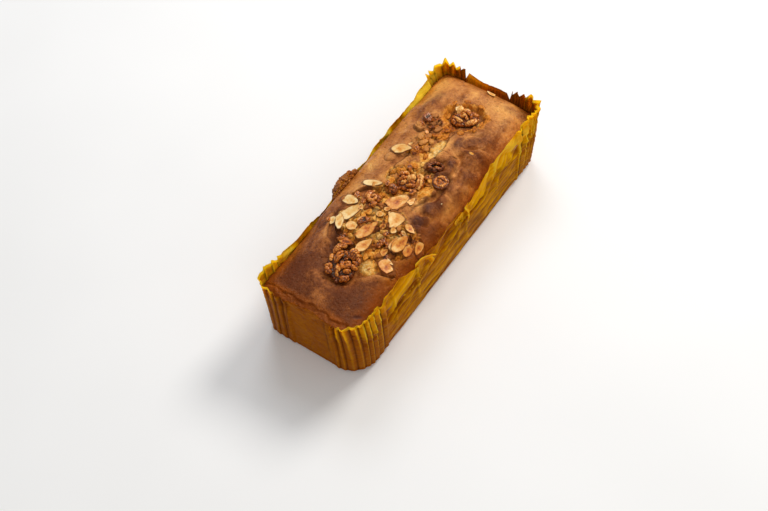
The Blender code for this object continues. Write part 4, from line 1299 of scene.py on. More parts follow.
def paper_wall(s):
    """The wall's points row by row, how free of grease with painted highlights, painted shade in its folds,
    and how toasted.
    """
    top = rim_top(s)
    rise, rim_depth, sweep, _, number, crest, groove = pleats_at(s)
    lean = round_value(RIM, 3, s)
    lean_start = LEAN_START + 5.0 * ease((lean - 1.2) / 1.2)
    start, band_dry, wall_dry, wrinkled = (round_value(WALLS, column, s) for column in (2, 3, 4, 5))
    start = start + 1.6 * noise(75, s / 14.0) + 0.8 * noise(76, s / 4.0)
    pleated = ease(rim_depth / 0.6)
    start = start + pleated * (9.0 * lattice(95, number.astype(np.int64)) - 5.0)
    spread = 9.0 + 11.0 * pleated
    bright = ease((band_dry - BRIGHT_FROM) / BRIGHT_SPAN)
    # 1 on the near end and its corners, and 0 elsewhere.
    near = ease((round_away(s, place_round("near_left")) + 4.0) / 6.0)
    before = (place_round("near_right") - s) / 6.0
    near = near * ease(before * (s < 0.5 * PERIMETER) + (s > 0.5 * PERIMETER))
    grid = np.zeros((WALL_ROWS, len(s), 3))
    values = {key: np.zeros((WALL_ROWS, len(s))) for key in ("free", "valley_shade", "toast", "thin")}
    burnt, glow = round_value(INSIDES, 3, s), round_value(INSIDES, 4, s)
    for row, t in enumerate(np.linspace(0.0, 1.0, WALL_ROWS) ** 0.95):
        z = top * t
        low = np.clip(1.0 - z / FOLD_HEIGHT, 0.0, 1.0)
        depth = PLEAT_DEPTH_BASE + (rim_depth - PLEAT_DEPTH_BASE) * t ** 1.1
        depth = np.minimum(depth, rim_depth) * (1.0 - 0.6 * low)
        ridge = rise + 0.08 * noise(77, s / 3.0, z / 12.0) * (rim_depth > 0.1)
        out, light, dark = creases(s, z, start, wrinkled)
        offset = flare(z) + GAP + lean * ease((z - lean_start) / (top - lean_start)) + depth * ridge + out
        offset = offset - (BOTTOM_ROUNDING + 0.4) * low ** 2 - 0.40 * bell(z - 4.4, 0.8)
        x, y = outline(s + sweep * t ** 1.8 - 0.30 * depth * (ridge - 0.5), offset)
        grid[row] = np.stack((x, y, z), -1)
        band = ease((z - start) / spread + 0.5)
        # Dry paper is brighter, and darker towards the foot; the folds' painted highlights and shade are
        # added, and the pleats' crests are painted lighter as highlights.
        free = wall_dry + (band_dry - wall_dry) * band + light - 0.10 * ease((8.0 - z) / 8.0)
        ridge_dry = 0.22 + 0.22 * t + 0.50 * ease((z - start + 26.0) / 26.0) * (band_dry > 0.5)
        values["free"][row] = free + crest * ridge_dry * (0.35 + band_dry) * (0.25 + 0.75 * bright)
        # Painted shade in the pleats' grooves, in the hollows beside the folds and in the dent near the
        # foot.
        base_line = 0.45 * bell(z - 4.2, 0.6) * wrinkled
        values["valley_shade"][row] = np.clip(0.88 * groove * (0.75 + 0.25 * t) + dark + base_line, 0.0, 1.0)
        values["toast"][row] = 0.55 * near * ease((t - 0.975) / 0.02)
        # The pleats' tips let more light through and are painted paler as a glow.
        tips = pleated * bright * ease((t - 0.93) / 0.04) * (1.0 - burnt ** 4)
        values["thin"][row] = glow * ease((t - 0.78) / 0.06) * (1.0 - tips) + THIN_TIPS * tips
    return grid, values


def paint_inside(s, rows):
    """How free of grease and how toasted the wall's inner face is, row by row, with a painted glow at the
    pleats' tips and painted shade below the rim.
    """
    part = rows[:, None] / (WALL_ROWS - 1.0)
    pleated = pleats_at(s)[1] > 0.5
    # The pleats' tips are painted brighter and less toasted, a painted glow of the light through them.
    tips = ease((part - 0.925 + 0.03 * noise(79, s / 2.0)) / 0.03) * pleated
    tips = tips * ease((round_value(WALLS, 3, s) - BRIGHT_FROM) / BRIGHT_SPAN)
    free = round_value(INSIDES, 2, s) + 0.25 * noise(78, s / 2.5) + tips
    edge = 0.5 * ease((part - 0.985) / 0.01) * ~pleated
    burnt, glow = round_value(INSIDES, 3, s), round_value(INSIDES, 4, s)
    # Painted shade on the inner face below the rim.
    shaded = 0.62 * (1.0 - ease((part - 0.90 + 0.02 * noise(80, s / 3.0)) / 0.05))
    shaded = shaded * np.clip(glow, 0.0, 1.0) * ~pleated
    return free, np.clip(burnt * (1.0 - 0.85 * tips * (1.0 - burnt ** 4)) + edge + shaded, 0.0, 1.0)


def make_paper():
    s = wall_places()
    columns = len(s)
    grid, values = paper_wall(s)
    # The inner skin follows the outer one near the rim, and stands back inside the cake below.
    upper = round(INSIDE_FROM * WALL_ROWS)
    rows = np.array([0, upper // 3, 2 * upper // 3, *range(upper, WALL_ROWS - RIM_ROWS, 2),
                     *range(WALL_ROWS - RIM_ROWS, WALL_ROWS)])
    back = PAPER_THICKNESS + INSIDE_INSET * ease((upper - rows) / 4.0) * (rows > 0)
    inner = (grid[rows] - back[:, None, None] * grid_normals(grid, wrap=True)[rows]).reshape(-1, 3)
    inner[:columns, 2] = PAPER_THICKNESS
    outer = grid.reshape(-1, 3)
    start = len(outer)
    faces = grid_faces(WALL_ROWS, columns, wrap=True)
    faces += grid_faces(len(rows), columns, start, wrap=True, flip=True)
    outer_rim, inner_rim = (WALL_ROWS - 1) * columns, start + (len(rows) - 1) * columns
    centre = start + len(inner)
    for k, m in around(columns):
        faces.append((outer_rim + k, outer_rim + m, inner_rim + m, inner_rim + k))
        faces.append((m, k, centre))
        faces.append((start + k, start + m, centre + 1))
    points = np.vstack((outer, inner, [[0.0, 0.0, 0.0], [0.0, 0.0, PAPER_THICKNESS]]))
    free, toast = paint_inside(s, rows)
    inside = {"free": free, "valley_shade": 0.6 * values["valley_shade"][rows], "toast": toast,
              "thin": values["thin"][rows]}
    painted = {key: np.concatenate((values[key].ravel(), inside[key].ravel(), [0.0, 0.0]))
               for key in inside}
    paper = make_mesh("paper_loaf_case", points, faces, PAPER, painted)
    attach(paper, "root")
    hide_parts("paper_case")


make_paper()

# Torn strips of the rim that stand out from the right wall, each between two lines of points.
STRIPS = (
    (((-43.0, -38.0, 55.0), (-38.5, -39.0, 57.0), (-34.0, -40.8, 56.0), (-30.0, -42.6, 53.6),
      (-27.0, -43.0, 50.0)),
     ((-43.0, -38.2, 46.0), (-38.0, -38.4, 50.0), (-33.5, -39.6, 51.5), (-30.0, -41.4, 50.0),
      (-27.4, -42.2, 48.4))),
    (((-31.0, -40.6, 52.0), (-28.6, -42.0, 48.5), (-27.0, -41.6, 43.0), (-28.5, -39.4, 37.0)),
     ((-34.0, -38.8, 50.0), (-31.4, -40.0, 47.0), (-29.6, -40.4, 42.5), (-29.4, -38.9, 37.0))),
    (((12.2, -38.4, 50.0), (13.0, -40.2, 46.0), (14.0, -40.4, 40.0), (15.6, -39.0, 31.0)),
     ((17.0, -38.2, 50.4), (16.2, -39.0, 45.5), (16.4, -39.2, 39.5), (16.6, -38.8, 31.0))),
    (((1.0, -38.2, 46.5), (5.0, -39.0, 49.0), (8.6, -39.8, 50.4)),
     ((2.0, -38.4, 42.0), (5.6, -38.6, 43.5), (9.6, -38.8, 46.0))),
)
# Points from edge to edge of a strip, steps between two of its corners, and how thick it is.
STRIP_ROWS = 12
STRIP_STEPS = 16
STRIP_THICKNESS = 0.3


def smooth_line(corners):
    """A line of points through the corners, rounded where it turns."""
    corners = np.array(corners, float)
    places = np.linspace(0.0, len(corners) - 1.0, STRIP_STEPS * (len(corners) - 1) + 1)
    line = np.stack([np.interp(places, range(len(corners)), corners[:, axis]) for axis in range(3)], -1)
    for _ in range(STRIP_STEPS):
        line[1:-1] = 0.5 * line[1:-1] + 0.25 * (line[2:] + line[:-2])
    return line


def make_strips():
    for index, (upper, lower) in enumerate(STRIPS):
        top, bottom = smooth_line(upper), smooth_line(lower)
        rows, columns = STRIP_ROWS, len(top)
        steps = [np.linspace(0.0, 1.0, number) for number in (rows, columns)]
        across, along = np.meshgrid(*steps, indexing="ij")
        grid = bottom[None] * (1.0 - across[..., None]) + top[None] * across[..., None]
        crumple = 0.9 * ridges(91 + index, 4.0 * along, 1.6 * across + 2.0 * along)
        grid[..., 1] -= crumple * np.sin(math.pi * np.clip(along, 0.05, 0.95)) - 0.2
        back = grid - STRIP_THICKNESS * grid_normals(grid, wrap=False)
        points = np.vstack((grid.reshape(-1, 3), back.reshape(-1, 3)))
        count = rows * columns
        faces = grid_faces(rows, columns) + grid_faces(rows, columns, count, flip=True)
        border = grid_border(rows, columns)
        for a, b in zip(border, border[1:] + border[:1]):
            faces.append((b, a, count + a, count + b))
        dry = (0.75 + 0.6 * across ** 2 + 0.3 * crumple).ravel()
        flap = make_mesh(f"paper_strip_{index + 1}", points, faces, PAPER,
                         {"free": np.tile(dry, 2), "thin": np.full(2 * count, 0.3)})
        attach(flap, "root")


make_strips()

# ---------------------------------------------------------------- walnuts

# Points whose tones are found at once.
POINTS_AT_ONCE = 4000


def remeshed(name, balls, voxel):
    """One closed skin round a set of balls, from the place and radius of each."""
    body = bmesh.new()
    for centre, radius in balls:
        bmesh.ops.create_icosphere(body, subdivisions=2, radius=radius * MM,
                                   matrix=Matrix.Translation(Vector(centre) * MM))
    mesh = bpy.data.meshes.new(name)
    body.to_mesh(mesh)
    body.free()
    raw = add_object(name, mesh)
    skin = raw.modifiers.new("skin", "REMESH")
    skin.mode = "VOXEL"
    skin.voxel_size = voxel * MM
    depsgraph = bpy.context.evaluated_depsgraph_get()
    result = bpy.data.meshes.new_from_object(raw.evaluated_get(depsgraph))
    bpy.data.objects.remove(raw)
    return result


def string_of_balls(points, radius):
    """Balls close together along a line of points, thinner at its ends."""
    balls = []
    points = [np.array(p, float) for p in points]
    lengths = [np.linalg.norm(b - a) for a, b in itertools.pairwise(points)]
    total = sum(lengths)
    done = 0.0
    for a, b, length in zip(points, points[1:], lengths):
        steps = max(int(length / (0.45 * radius)), 1)
        for k in range(steps + 1):
            t = (done + length * k / steps) / max(total, 1e-6)
            where = a + (b - a) * k / steps
            # Each direction is shaken by another part of the noise.
            shake = noise(501, *(where[:, None] / 1.1 + np.array([[0.0, 31.0, 57.0]]))) * 0.14 * radius
            swell = math.sin(math.pi * min(max(t, 0.0), 1.0))
            balls.append((tuple(where + shake), radius * (0.76 + 0.30 * swell + 0.5 * shake[0] / radius)))
        done += length
    return balls


def billow(seed, points, size):
    """Rounded folds from 0 to 1 with narrow valleys between them."""
    x, y, z = points.T / size
    warp = 0.5 * noise(seed + 1, 0.6 * x, 0.6 * y, 0.6 * z)
    return np.minimum(2.2 * np.abs(noise(seed, x + warp, y - warp, z)), 1.0) ** 0.6


def fold_skin(mesh, seed, wrinkle):
    """Folds a mesh's skin and stores how deep each place lies in a fold, which the paints turn into painted
    shade in the folds, and on walnuts painted highlights on the ridges.
    """
    points, normals, _ = mesh_arrays(mesh)
    folds = wrinkle * (billow(seed, points / MM, 3.4) + 0.65 * billow(seed + 2, points / MM, 1.5) - 0.95)
    mesh.vertices.foreach_set("co", (points + folds[:, None] * normals * MM).ravel())
    mesh.update()
    points, normals, edges = mesh_arrays(mesh)
    hollow_shade = hollows(points / MM, edges, normals)
    set_values(mesh, "hollow_shade", np.clip(hollow_shade / 0.30, -0.6, 1.2))
    return points / MM


def make_nut(node, seed, voxel, wrinkle, ripe, base, lobes):
    """A nut piece from its lobes standing on an oval base, in place of a CAD node."""
    low, high = (np.array(corner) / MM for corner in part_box(node))
    middle = 0.5 * (low + high)
    floor, tall = low[2], high[2] - low[2]
    balls, tones = [], []
    for points, radius, tone in (*oval_base(*base), *lobes):
        line = [(middle[0] + p[0], middle[1] + p[1], floor + tall * p[2] - radius) for p in points]
        line = line * 2 if len(line) == 1 else line
        for ball in string_of_balls(line, radius):
            balls.append(ball)
            tones.append(tone)
    name = f"{node}_kernel"
    mesh = remeshed(name, balls, voxel)
    points = fold_skin(mesh, seed, wrinkle)
    # Each point takes the tone of the ball whose surface is nearest.
    centres, reach = np.array([b[0] for b in balls]), np.array([b[1] for b in balls])
    tone = np.zeros(len(points))
    for start in range(0, len(points), POINTS_AT_ONCE):
        part = points[start:start + POINTS_AT_ONCE]
        away = np.linalg.norm(part[:, None] - centres[None], axis=2) - reach[None]
        tone[start:start + POINTS_AT_ONCE] = np.array(tones)[away.argmin(1)]
    x, y, z = points.T
    set_values(mesh, "tone", tone + ripe + 0.16 * noise(seed + 5, x / 3.5, y / 3.5, z / 3.5))
    nut = show(name, mesh, WALNUT)
    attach(nut, "root")
    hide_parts(node)


def oval_base(along, across, turn, radius, level, tone):
    """Lobes that fill an oval below a nut's folds."""
    lobes = []
    steps = max(int(along / radius), 1)
    for k in range(-steps, steps + 1):
        p = (0.5 * along - radius) * k / steps
        q = max((0.5 * across - radius), 0.0) * math.sqrt(max(1.0 - (k / (steps + 0.6)) ** 2, 0.0))
        lobes.append(([(*turned(0.0, 0.0, p, w, turn), level) for w in (-q, q)], radius, tone))
    return lobes


def ring_points(along, across, turn, count, level):
    """Points round a closed oval, at a part of the nut's height."""
    angles = np.linspace(0.0, TURN, count + 1)
    return [(*turned(0.0, 0.0, p, q, turn), level)
            for p, q in zip(along * np.cos(angles), across * np.sin(angles))]


def swirl_point(k):
    """A point of a spiral that winds inwards and up."""
    reach = 4.2 * (1.0 - 0.11 * k)
    return (reach * math.cos(0.75 * k + 0.6) * 1.15, reach * math.sin(0.75 * k + 0.6), 0.66 + 0.035 * k)


def grain_point(k):
    """A point of a flat spiral whose turns fill an oval."""
    return (math.cos(2.4 * k) * 0.32 * k, math.sin(2.4 * k) * 0.18 * k, 0.80 - 0.02 * k)


# Walnut kernels: node, seed, voxel, how deep the skin folds and how much paler the whole is; then the
# base's size along and across, turn, lobe radius, part of the height and tone; then the lobes. A lobe
# has its points, its radius and its tone from 0 dark to 1 pale, and a point has its place from the
# kernel's middle and its part of the kernel's height.
WALNUTS = (
    ("walnut_near", 201, 0.28, 0.55, -0.18, (24.0, 20.0, 35.0, 2.4, 0.50, 0.26), (
        (((5.0, 8.6, 0.72), (8.2, 7.8, 0.88), (11.4, 5.6, 0.80)), 1.9, 0.62),
        (((5.6, -2.0, 0.74), (8.8, -1.2, 0.94), (12.0, -1.2, 0.80)), 0.95, 0.66),
        (((5.8, -2.8, 0.72), (9.0, -3.0, 0.98), (12.2, -3.2, 0.80)), 0.85, 0.72),
        (((5.8, -3.6, 0.70), (8.8, -4.6, 0.96), (11.6, -5.2, 0.76)), 0.85, 0.70),
        (((5.6, -4.4, 0.66), (8.2, -6.2, 0.90), (10.4, -7.2, 0.70)), 0.9, 0.62),
        (((6.4, 4.1, 0.84), (3.0, 4.9, 0.92), (-0.6, 4.2, 0.78)), 1.15, 0.55),
        (((4.5, 2.1, 0.86), (1.2, 2.9, 0.92), (-1.8, 2.7, 0.78)), 1.05, 0.55),
        (((6.9, 1.6, 0.84), (6.1, 0.4, 0.90), (5.5, -1.6, 0.80)), 1.0, 0.50),
        (((7.2, -6.5, 0.74), (6.4, -8.2, 0.80), (4.6, -9.4, 0.66)), 1.15, 0.50),
        (((3.8, -6.2, 0.70), (4.4, -8.0, 0.70), (2.6, -9.4, 0.60)), 1.0, 0.48),
        (((-1.5, -4.0, 0.84), (0.6, -6.8, 0.88), (1.2, -9.4, 0.66)), 1.5, 0.58),
        (((-4.4, -5.2, 0.74), (-2.8, -7.4, 0.76)), 1.4, 0.50),
        (((-3.0, 0.9, 0.80), (-5.6, -0.9, 0.88), (-8.8, -2.2, 0.64)), 1.35, 0.64),
        (((-9.4, -6.2, 0.60), (-6.6, -8.2, 0.62)), 2.1, 0.46),
        (((-11.4, -3.6, 0.40),), 1.6, 0.10),
        (((-7.6, 6.0, 0.62), (-9.2, 4.2, 0.62), (-8.8, 2.2, 0.58)), 1.5, 0.52),
        (((-6.2, 7.2, 0.62), (-4.8, 5.6, 0.66), (-6.0, 3.8, 0.60)), 1.3, 0.58),
        (((-0.1, -0.7, 0.86), (-1.8, -1.2, 0.90), (-3.2, -2.9, 0.80)), 1.05, 0.56),
        (((0.6, -2.4, 0.84), (2.1, -4.7, 0.84)), 0.95, 0.55),
        (((2.4, -0.6, 0.80), (3.6, -1.6, 0.80)), 0.8, 0.42),
        (((1.5, 8.6, 0.62), (-1.6, 7.4, 0.62)), 1.3, 0.60),
    )),
    ("walnut_middle", 211, 0.28, 0.45, 0.0, (18.5, 14.0, -58.0, 2.2, 0.46, 0.30), (
        (((-0.6, 8.2, 0.66), (1.6, 6.8, 0.84), (3.6, 4.6, 0.72)), 1.7, 0.50),
        (((-3.2, 6.4, 0.60), (-1.0, 5.0, 0.78), (0.6, 3.4, 0.66)), 1.4, 0.46),
        (((-4.4, 3.6, 0.60), (-2.6, 2.2, 0.72)), 1.3, 0.62),
        (((1.0, 0.8, 0.98), (1.8, -0.6, 0.98)), 2.9, 0.72),
        (((6.0, -3.4, 0.76), (4.8, -5.6, 0.90), (1.6, -7.2, 0.86), (-2.6, -7.8, 0.62)), 1.15, 0.70),
        (((4.6, -2.8, 0.72), (3.0, -4.8, 0.84), (0.2, -5.8, 0.80), (-2.8, -6.2, 0.60)), 1.0, 0.62),
        (((-4.6, -0.4, 0.66), (-3.8, -2.6, 0.74), (-2.4, -4.6, 0.66)), 1.3, 0.50),
        (((-6.4, -2.6, 0.50), (-5.4, -4.4, 0.50)), 1.2, 0.42),
        (((-1.6, -0.6, 0.70), (-0.8, -3.0, 0.74)), 1.1, 0.36),
    )),
    ("walnut_middle_dark", 221, 0.26, 0.5, 0.0, (7.6, 6.6, 20.0, 1.8, 0.55, 0.16), (
        (((-2.2, 1.2, 0.72), (0.2, 1.8, 0.95), (2.4, 1.0, 0.72)), 1.7, 0.30),
        (((-2.0, -1.4, 0.64), (0.4, -1.0, 0.92), (2.2, -1.6, 0.66)), 1.7, 0.24),
    )),
    ("walnut_swirl", 231, 0.26, 0.3, 0.08, (10.6, 8.6, -60.0, 1.9, 0.54, 0.34), (
        ([swirl_point(k) for k in range(9)], 1.35, 0.50),
        (((4.4, 2.8, 0.55), (2.0, 4.8, 0.60), (-1.6, 4.8, 0.55)), 1.2, 0.42),
        (((0.2, 0.4, 0.84),), 1.5, 0.58),
    )),
    ("walnut_burnt", 241, 0.24, 0.75, -0.02, (11.4, 6.6, -60.0, 1.5, 0.40, 0.12), (
        (ring_points(5.0, 2.9, -60.0, 14, 0.74), 1.05, 0.02),
        (ring_points(4.6, 2.4, -60.0, 14, 0.92), 0.8, 0.12),
        (((0.8, -1.6, 0.56), (-0.8, 1.4, 0.56)), 1.3, 0.40),
        (((-2.6, -0.2, 0.80), (-3.6, 1.6, 0.70)), 1.0, 0.10),
    )),
    ("walnut_round", 251, 0.24, 0.35, 0.0, (9.2, 9.2, 0.0, 1.8, 0.46, 0.40), (
        (ring_points(5.1, 4.9, 0.0, 28, 0.50), 0.65, 0.06),
        (((-3.6, -1.0, 0.60), (-2.2, -3.2, 0.66), (0.8, -3.8, 0.60)), 1.25, 0.52),
        (((2.8, -2.4, 0.60), (3.7, 0.4, 0.66), (2.4, 2.9, 0.62)), 1.15, 0.56),
        (((0.6, 3.7, 0.60), (-2.2, 2.9, 0.64), (-3.5, 0.8, 0.60)), 1.2, 0.48),
        (((-0.9, -1.0, 0.66), (0.8, 0.6, 0.68)), 1.9, 0.42),
        (((1.9, -1.2, 0.66), (2.3, 0.8, 0.66)), 0.5, 0.05),
    )),
    ("walnut_granular", 261, 0.24, 0.35, 0.0, (8.6, 4.8, -15.0, 1.3, 0.55, 0.22), tuple(
        ([grain_point(k)], 0.9, 0.34 + 0.05 * (k % 3)) for k in range(14)
    )),
    ("walnut_far", 271, 0.28, 0.55, 0.12, (19.0, 13.4, -50.0, 2.1, 0.46, 0.28), (
        (((6.0, 6.2, 0.60), (3.4, 5.4, 0.80), (1.0, 5.8, 0.66)), 1.6, 0.74),
        (((1.2, 2.0, 0.72), (3.0, 0.2, 0.90), (2.6, -2.6, 0.80), (0.6, -4.2, 0.70)), 1.3, 0.30),
        (((-1.4, 1.8, 0.72), (-0.4, -0.4, 0.88), (-1.6, -2.6, 0.74)), 1.2, 0.40),
        (((-4.2, -4.0, 0.60), (-2.6, -6.4, 0.74), (0.8, -7.2, 0.66)), 1.7, 0.50),
        (((4.6, -4.2, 0.66), (5.4, -6.4, 0.62)), 1.3, 0.26),
        (((-3.8, 4.6, 0.60), (-4.6, 2.2, 0.66), (-4.4, -0.4, 0.60)), 1.2, 0.52),
        (((4.8, 2.8, 0.66), (5.2, 0.2, 0.68)), 1.1, 0.44),
    )),
)

for kernel in WALNUTS:
    make_nut(*kernel)

# ---------------------------------------------------------------- almond flakes

# Points round a flake, and how thick the flakes and the chips are.
FLAKE_SPOKES = 60
FLAKE_THICKNESS = 0.95
CHIP_THICKNESS = 0.75
# Each flake and chip has ten seeds of its own, counted from these.
FLAKE_SEEDS, CHIP_SEEDS = 300, 600
# The turn in degrees beyond which a flake's edge stays sharp.
FLAKE_CRISP = 42.0
# Rings of a flake from its middle to its edge: how far out, and its half thickness there.
FLAKE_PROFILE = ((0.12, 0.44), (0.26, 0.45), (0.40, 0.46), (0.54, 0.48), (0.67, 0.50), (0.79, 0.50),
                 (0.88, 0.50), (0.945, 0.48), (0.98, 0.38), (1.0, 0.20))


def flake_mesh(name, length, width, place, toast, lean, cut, seed, thickness):
    """A thin almond slice: an oval with one pointed end, gently warped, with a brown skin at its edge.

    Place is its middle and its forward, sideways and upward directions."""
    middle, forward, sideways, up = place
    angles = np.linspace(0.0, TURN, FLAKE_SPOKES, endpoint=False)
    cosine, sine = np.cos(angles), np.sin(angles)
    outer = 1.0 + 0.09 * noise(seed, 1.6 * cosine, 1.6 * sine)
    outer = outer + 0.035 * noise(seed + 1, 5.0 * cosine, 5.0 * sine)
    along = 0.5 * length * cosine * outer
    across = 0.5 * width * sine * (1.0 - 0.34 * cosine) * outer
    limit = 0.5 * length * cut * (1.0 + 0.10 * noise(seed + 2, across / 1.4, 0.0 * across))
    if cut:
        along = np.minimum(along, limit) if cut > 0.0 else np.maximum(along, limit)
    sector = noise(seed + 7, 1.3 * cosine + 4.0, 1.3 * sine)
    picks = [lattice(seed, np.int64(k)) for k in (3, 4, 5)]
    warp, twist, curl = 0.25 + 0.45 * picks[0], 0.9 * (picks[1] - 0.5), 0.6 * (picks[2] - 0.35)
    points, rim, brown = [], [], []

    def spot(p, q, side, half):
        """A point of the upper or lower face, p along and q across the slice."""
        a, b = 2.0 * p / length, 2.0 * q / width
        bend = warp * (a * a - 0.3) + twist * a * b + curl * a ** 3 - 0.12
        grain = 0.07 * noise(seed + 5, p / 3.0, q / 0.9) + 0.06 * noise(seed + 6, p / 1.6, q / 1.6)
        h = bend + side * thickness * half + (grain if side > 0 else 0.0)
        return middle + p[:, None] * forward + q[:, None] * sideways + h[:, None] * up

    for side in (1.0, -1.0):
        for t, half in FLAKE_PROFILE:
            points.append(spot(along * t, across * t, side, half))
            rim.append(t + 0.03 * sector)
            brown.append(toast + lean * cosine * t + (0.22 + 0.30 * sector) * t ** 4 - 0.06)
    centre = np.zeros(1)
    points += [spot(centre, centre, side, 0.44) for side in (1.0, -1.0)]
    points = np.vstack(points)
    rim = np.concatenate(rim + [[0.0, 0.0]])
    brown = np.concatenate(brown + [[toast, toast]])
    rings = len(FLAKE_PROFILE)
    half = rings * FLAKE_SPOKES
    faces = grid_faces(rings, FLAKE_SPOKES, wrap=True, flip=True)
    faces += grid_faces(rings, FLAKE_SPOKES, half, wrap=True)
    edge = half - FLAKE_SPOKES
    for k, m in around(FLAKE_SPOKES):
        faces.append((edge + k, half + edge + k, half + edge + m, edge + m))
        faces.append((k, m, 2 * half))
        faces.append((half + m, half + k, 2 * half + 1))
    flake = make_mesh(name, points, faces, ALMOND, {"rim": rim, "toast": brown}, FLAKE_CRISP)
    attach(flake, "root")
    return flake


def make_flakes():
    for number, length, width, _, toast, lean, cut in FLAKES:
        flake = flake_mesh(f"almond_slice_{number:02d}", length, width, FLAKE_PLACES[number], toast, lean,
                           cut, FLAKE_SEEDS + 10 * number, FLAKE_THICKNESS)
        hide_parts(f"almond_flake_{number:02d}")


make_flakes()

# Broken flakes: place, length, width, heading, nose-up tilt, toast, and how much further than
# CHIP_LIFT they lie above the crust. CHIP_CUTS are where their ends are broken, by turns.
CHIP_LIFT = 0.45
CHIP_CUTS = (-0.75, 0.8)
CHIPS = (
    (-43.0, 24.5, 5.0, 6.0, -60.0, 6.0, 0.20, 0.0), (-32.0, -6.5, 5.0, 3.6, -40.0, 10.0, 0.62, 0.3),
    (-28.5, -19.5, 5.3, 2.5, -105.0, 12.0, 0.30, 0.2), (-25.5, 0.0, 6.0, 4.3, -98.0, 8.0, 0.45, 0.3),
    (-7.5, -11.0, 7.0, 4.2, -13.0, 8.0, 0.50, 0.2), (-54.0, 9.5, 4.0, 3.0, 30.0, 12.0, 0.35, 0.2),
    (-50.0, -23.0, 7.4, 2.0, -107.0, 10.0, 0.25, 0.2), (33.0, 16.0, 3.7, 1.8, -30.0, 12.0, 0.40, 0.0),
    (101.0, -3.5, 8.0, 2.5, 90.0, 0.0, 0.34, 0.7), (75.6, 5.4, 6.0, 4.5, -20.0, 10.0, 0.34, 3.6),
    (-36.0, 8.0, 6.0, 3.6, 15.0, 14.0, 0.46, 0.5), (-20.0, -2.0, 5.0, 3.0, -60.0, 12.0, 0.55, 0.4),
    (-47.0, -17.0, 6.0, 4.0, -30.0, 10.0, 0.60, 0.3), (-31.0, -13.5, 5.0, 3.6, 40.0, 8.0, 0.48, 0.3),
    (-28.0, 13.0, 5.0, 3.0, 20.0, 10.0, 0.52, 0.3), (46.0, 12.0, 4.0, 2.4, 30.0, 8.0, 0.60, 0.3),
)


def make_chips():
    for index, (x, y, length, width, heading, tilt, toast, lift) in enumerate(CHIPS):
        angle = math.radians(heading)
        ahead = np.array([math.cos(angle), math.sin(angle)])
        side = np.array([-ahead[1], ahead[0]])
        spots = np.array([(x, y) + a * ahead * (0.5 * length) + b * side * 0.5 * width
                          for a, b in ((-1, 0), (1, 0), (0, -1), (0, 1), (0, 0))])
        z, _ = crust(spots[:, 0], spots[:, 1])
        forward = np.array([*ahead, 0.5 * (z[1] - z[0]) / length + math.tan(math.radians(tilt)) * 0.5])
        forward /= np.linalg.norm(forward)
        sideways = np.array([*side, 0.5 * (z[3] - z[2]) / width])
        up = np.cross(forward, sideways)
        up /= np.linalg.norm(up)
        place = (np.array([x, y, z.mean() + CHIP_LIFT + lift]), forward, np.cross(up, forward), up)
        flake_mesh(f"almond_chip_{index + 1:02d}", length, width, place, toast, 0.05, CHIP_CUTS[index % 2],
                   CHIP_SEEDS + 10 * index, CHIP_THICKNESS)


make_chips()

# ---------------------------------------------------------------- lumps and bits

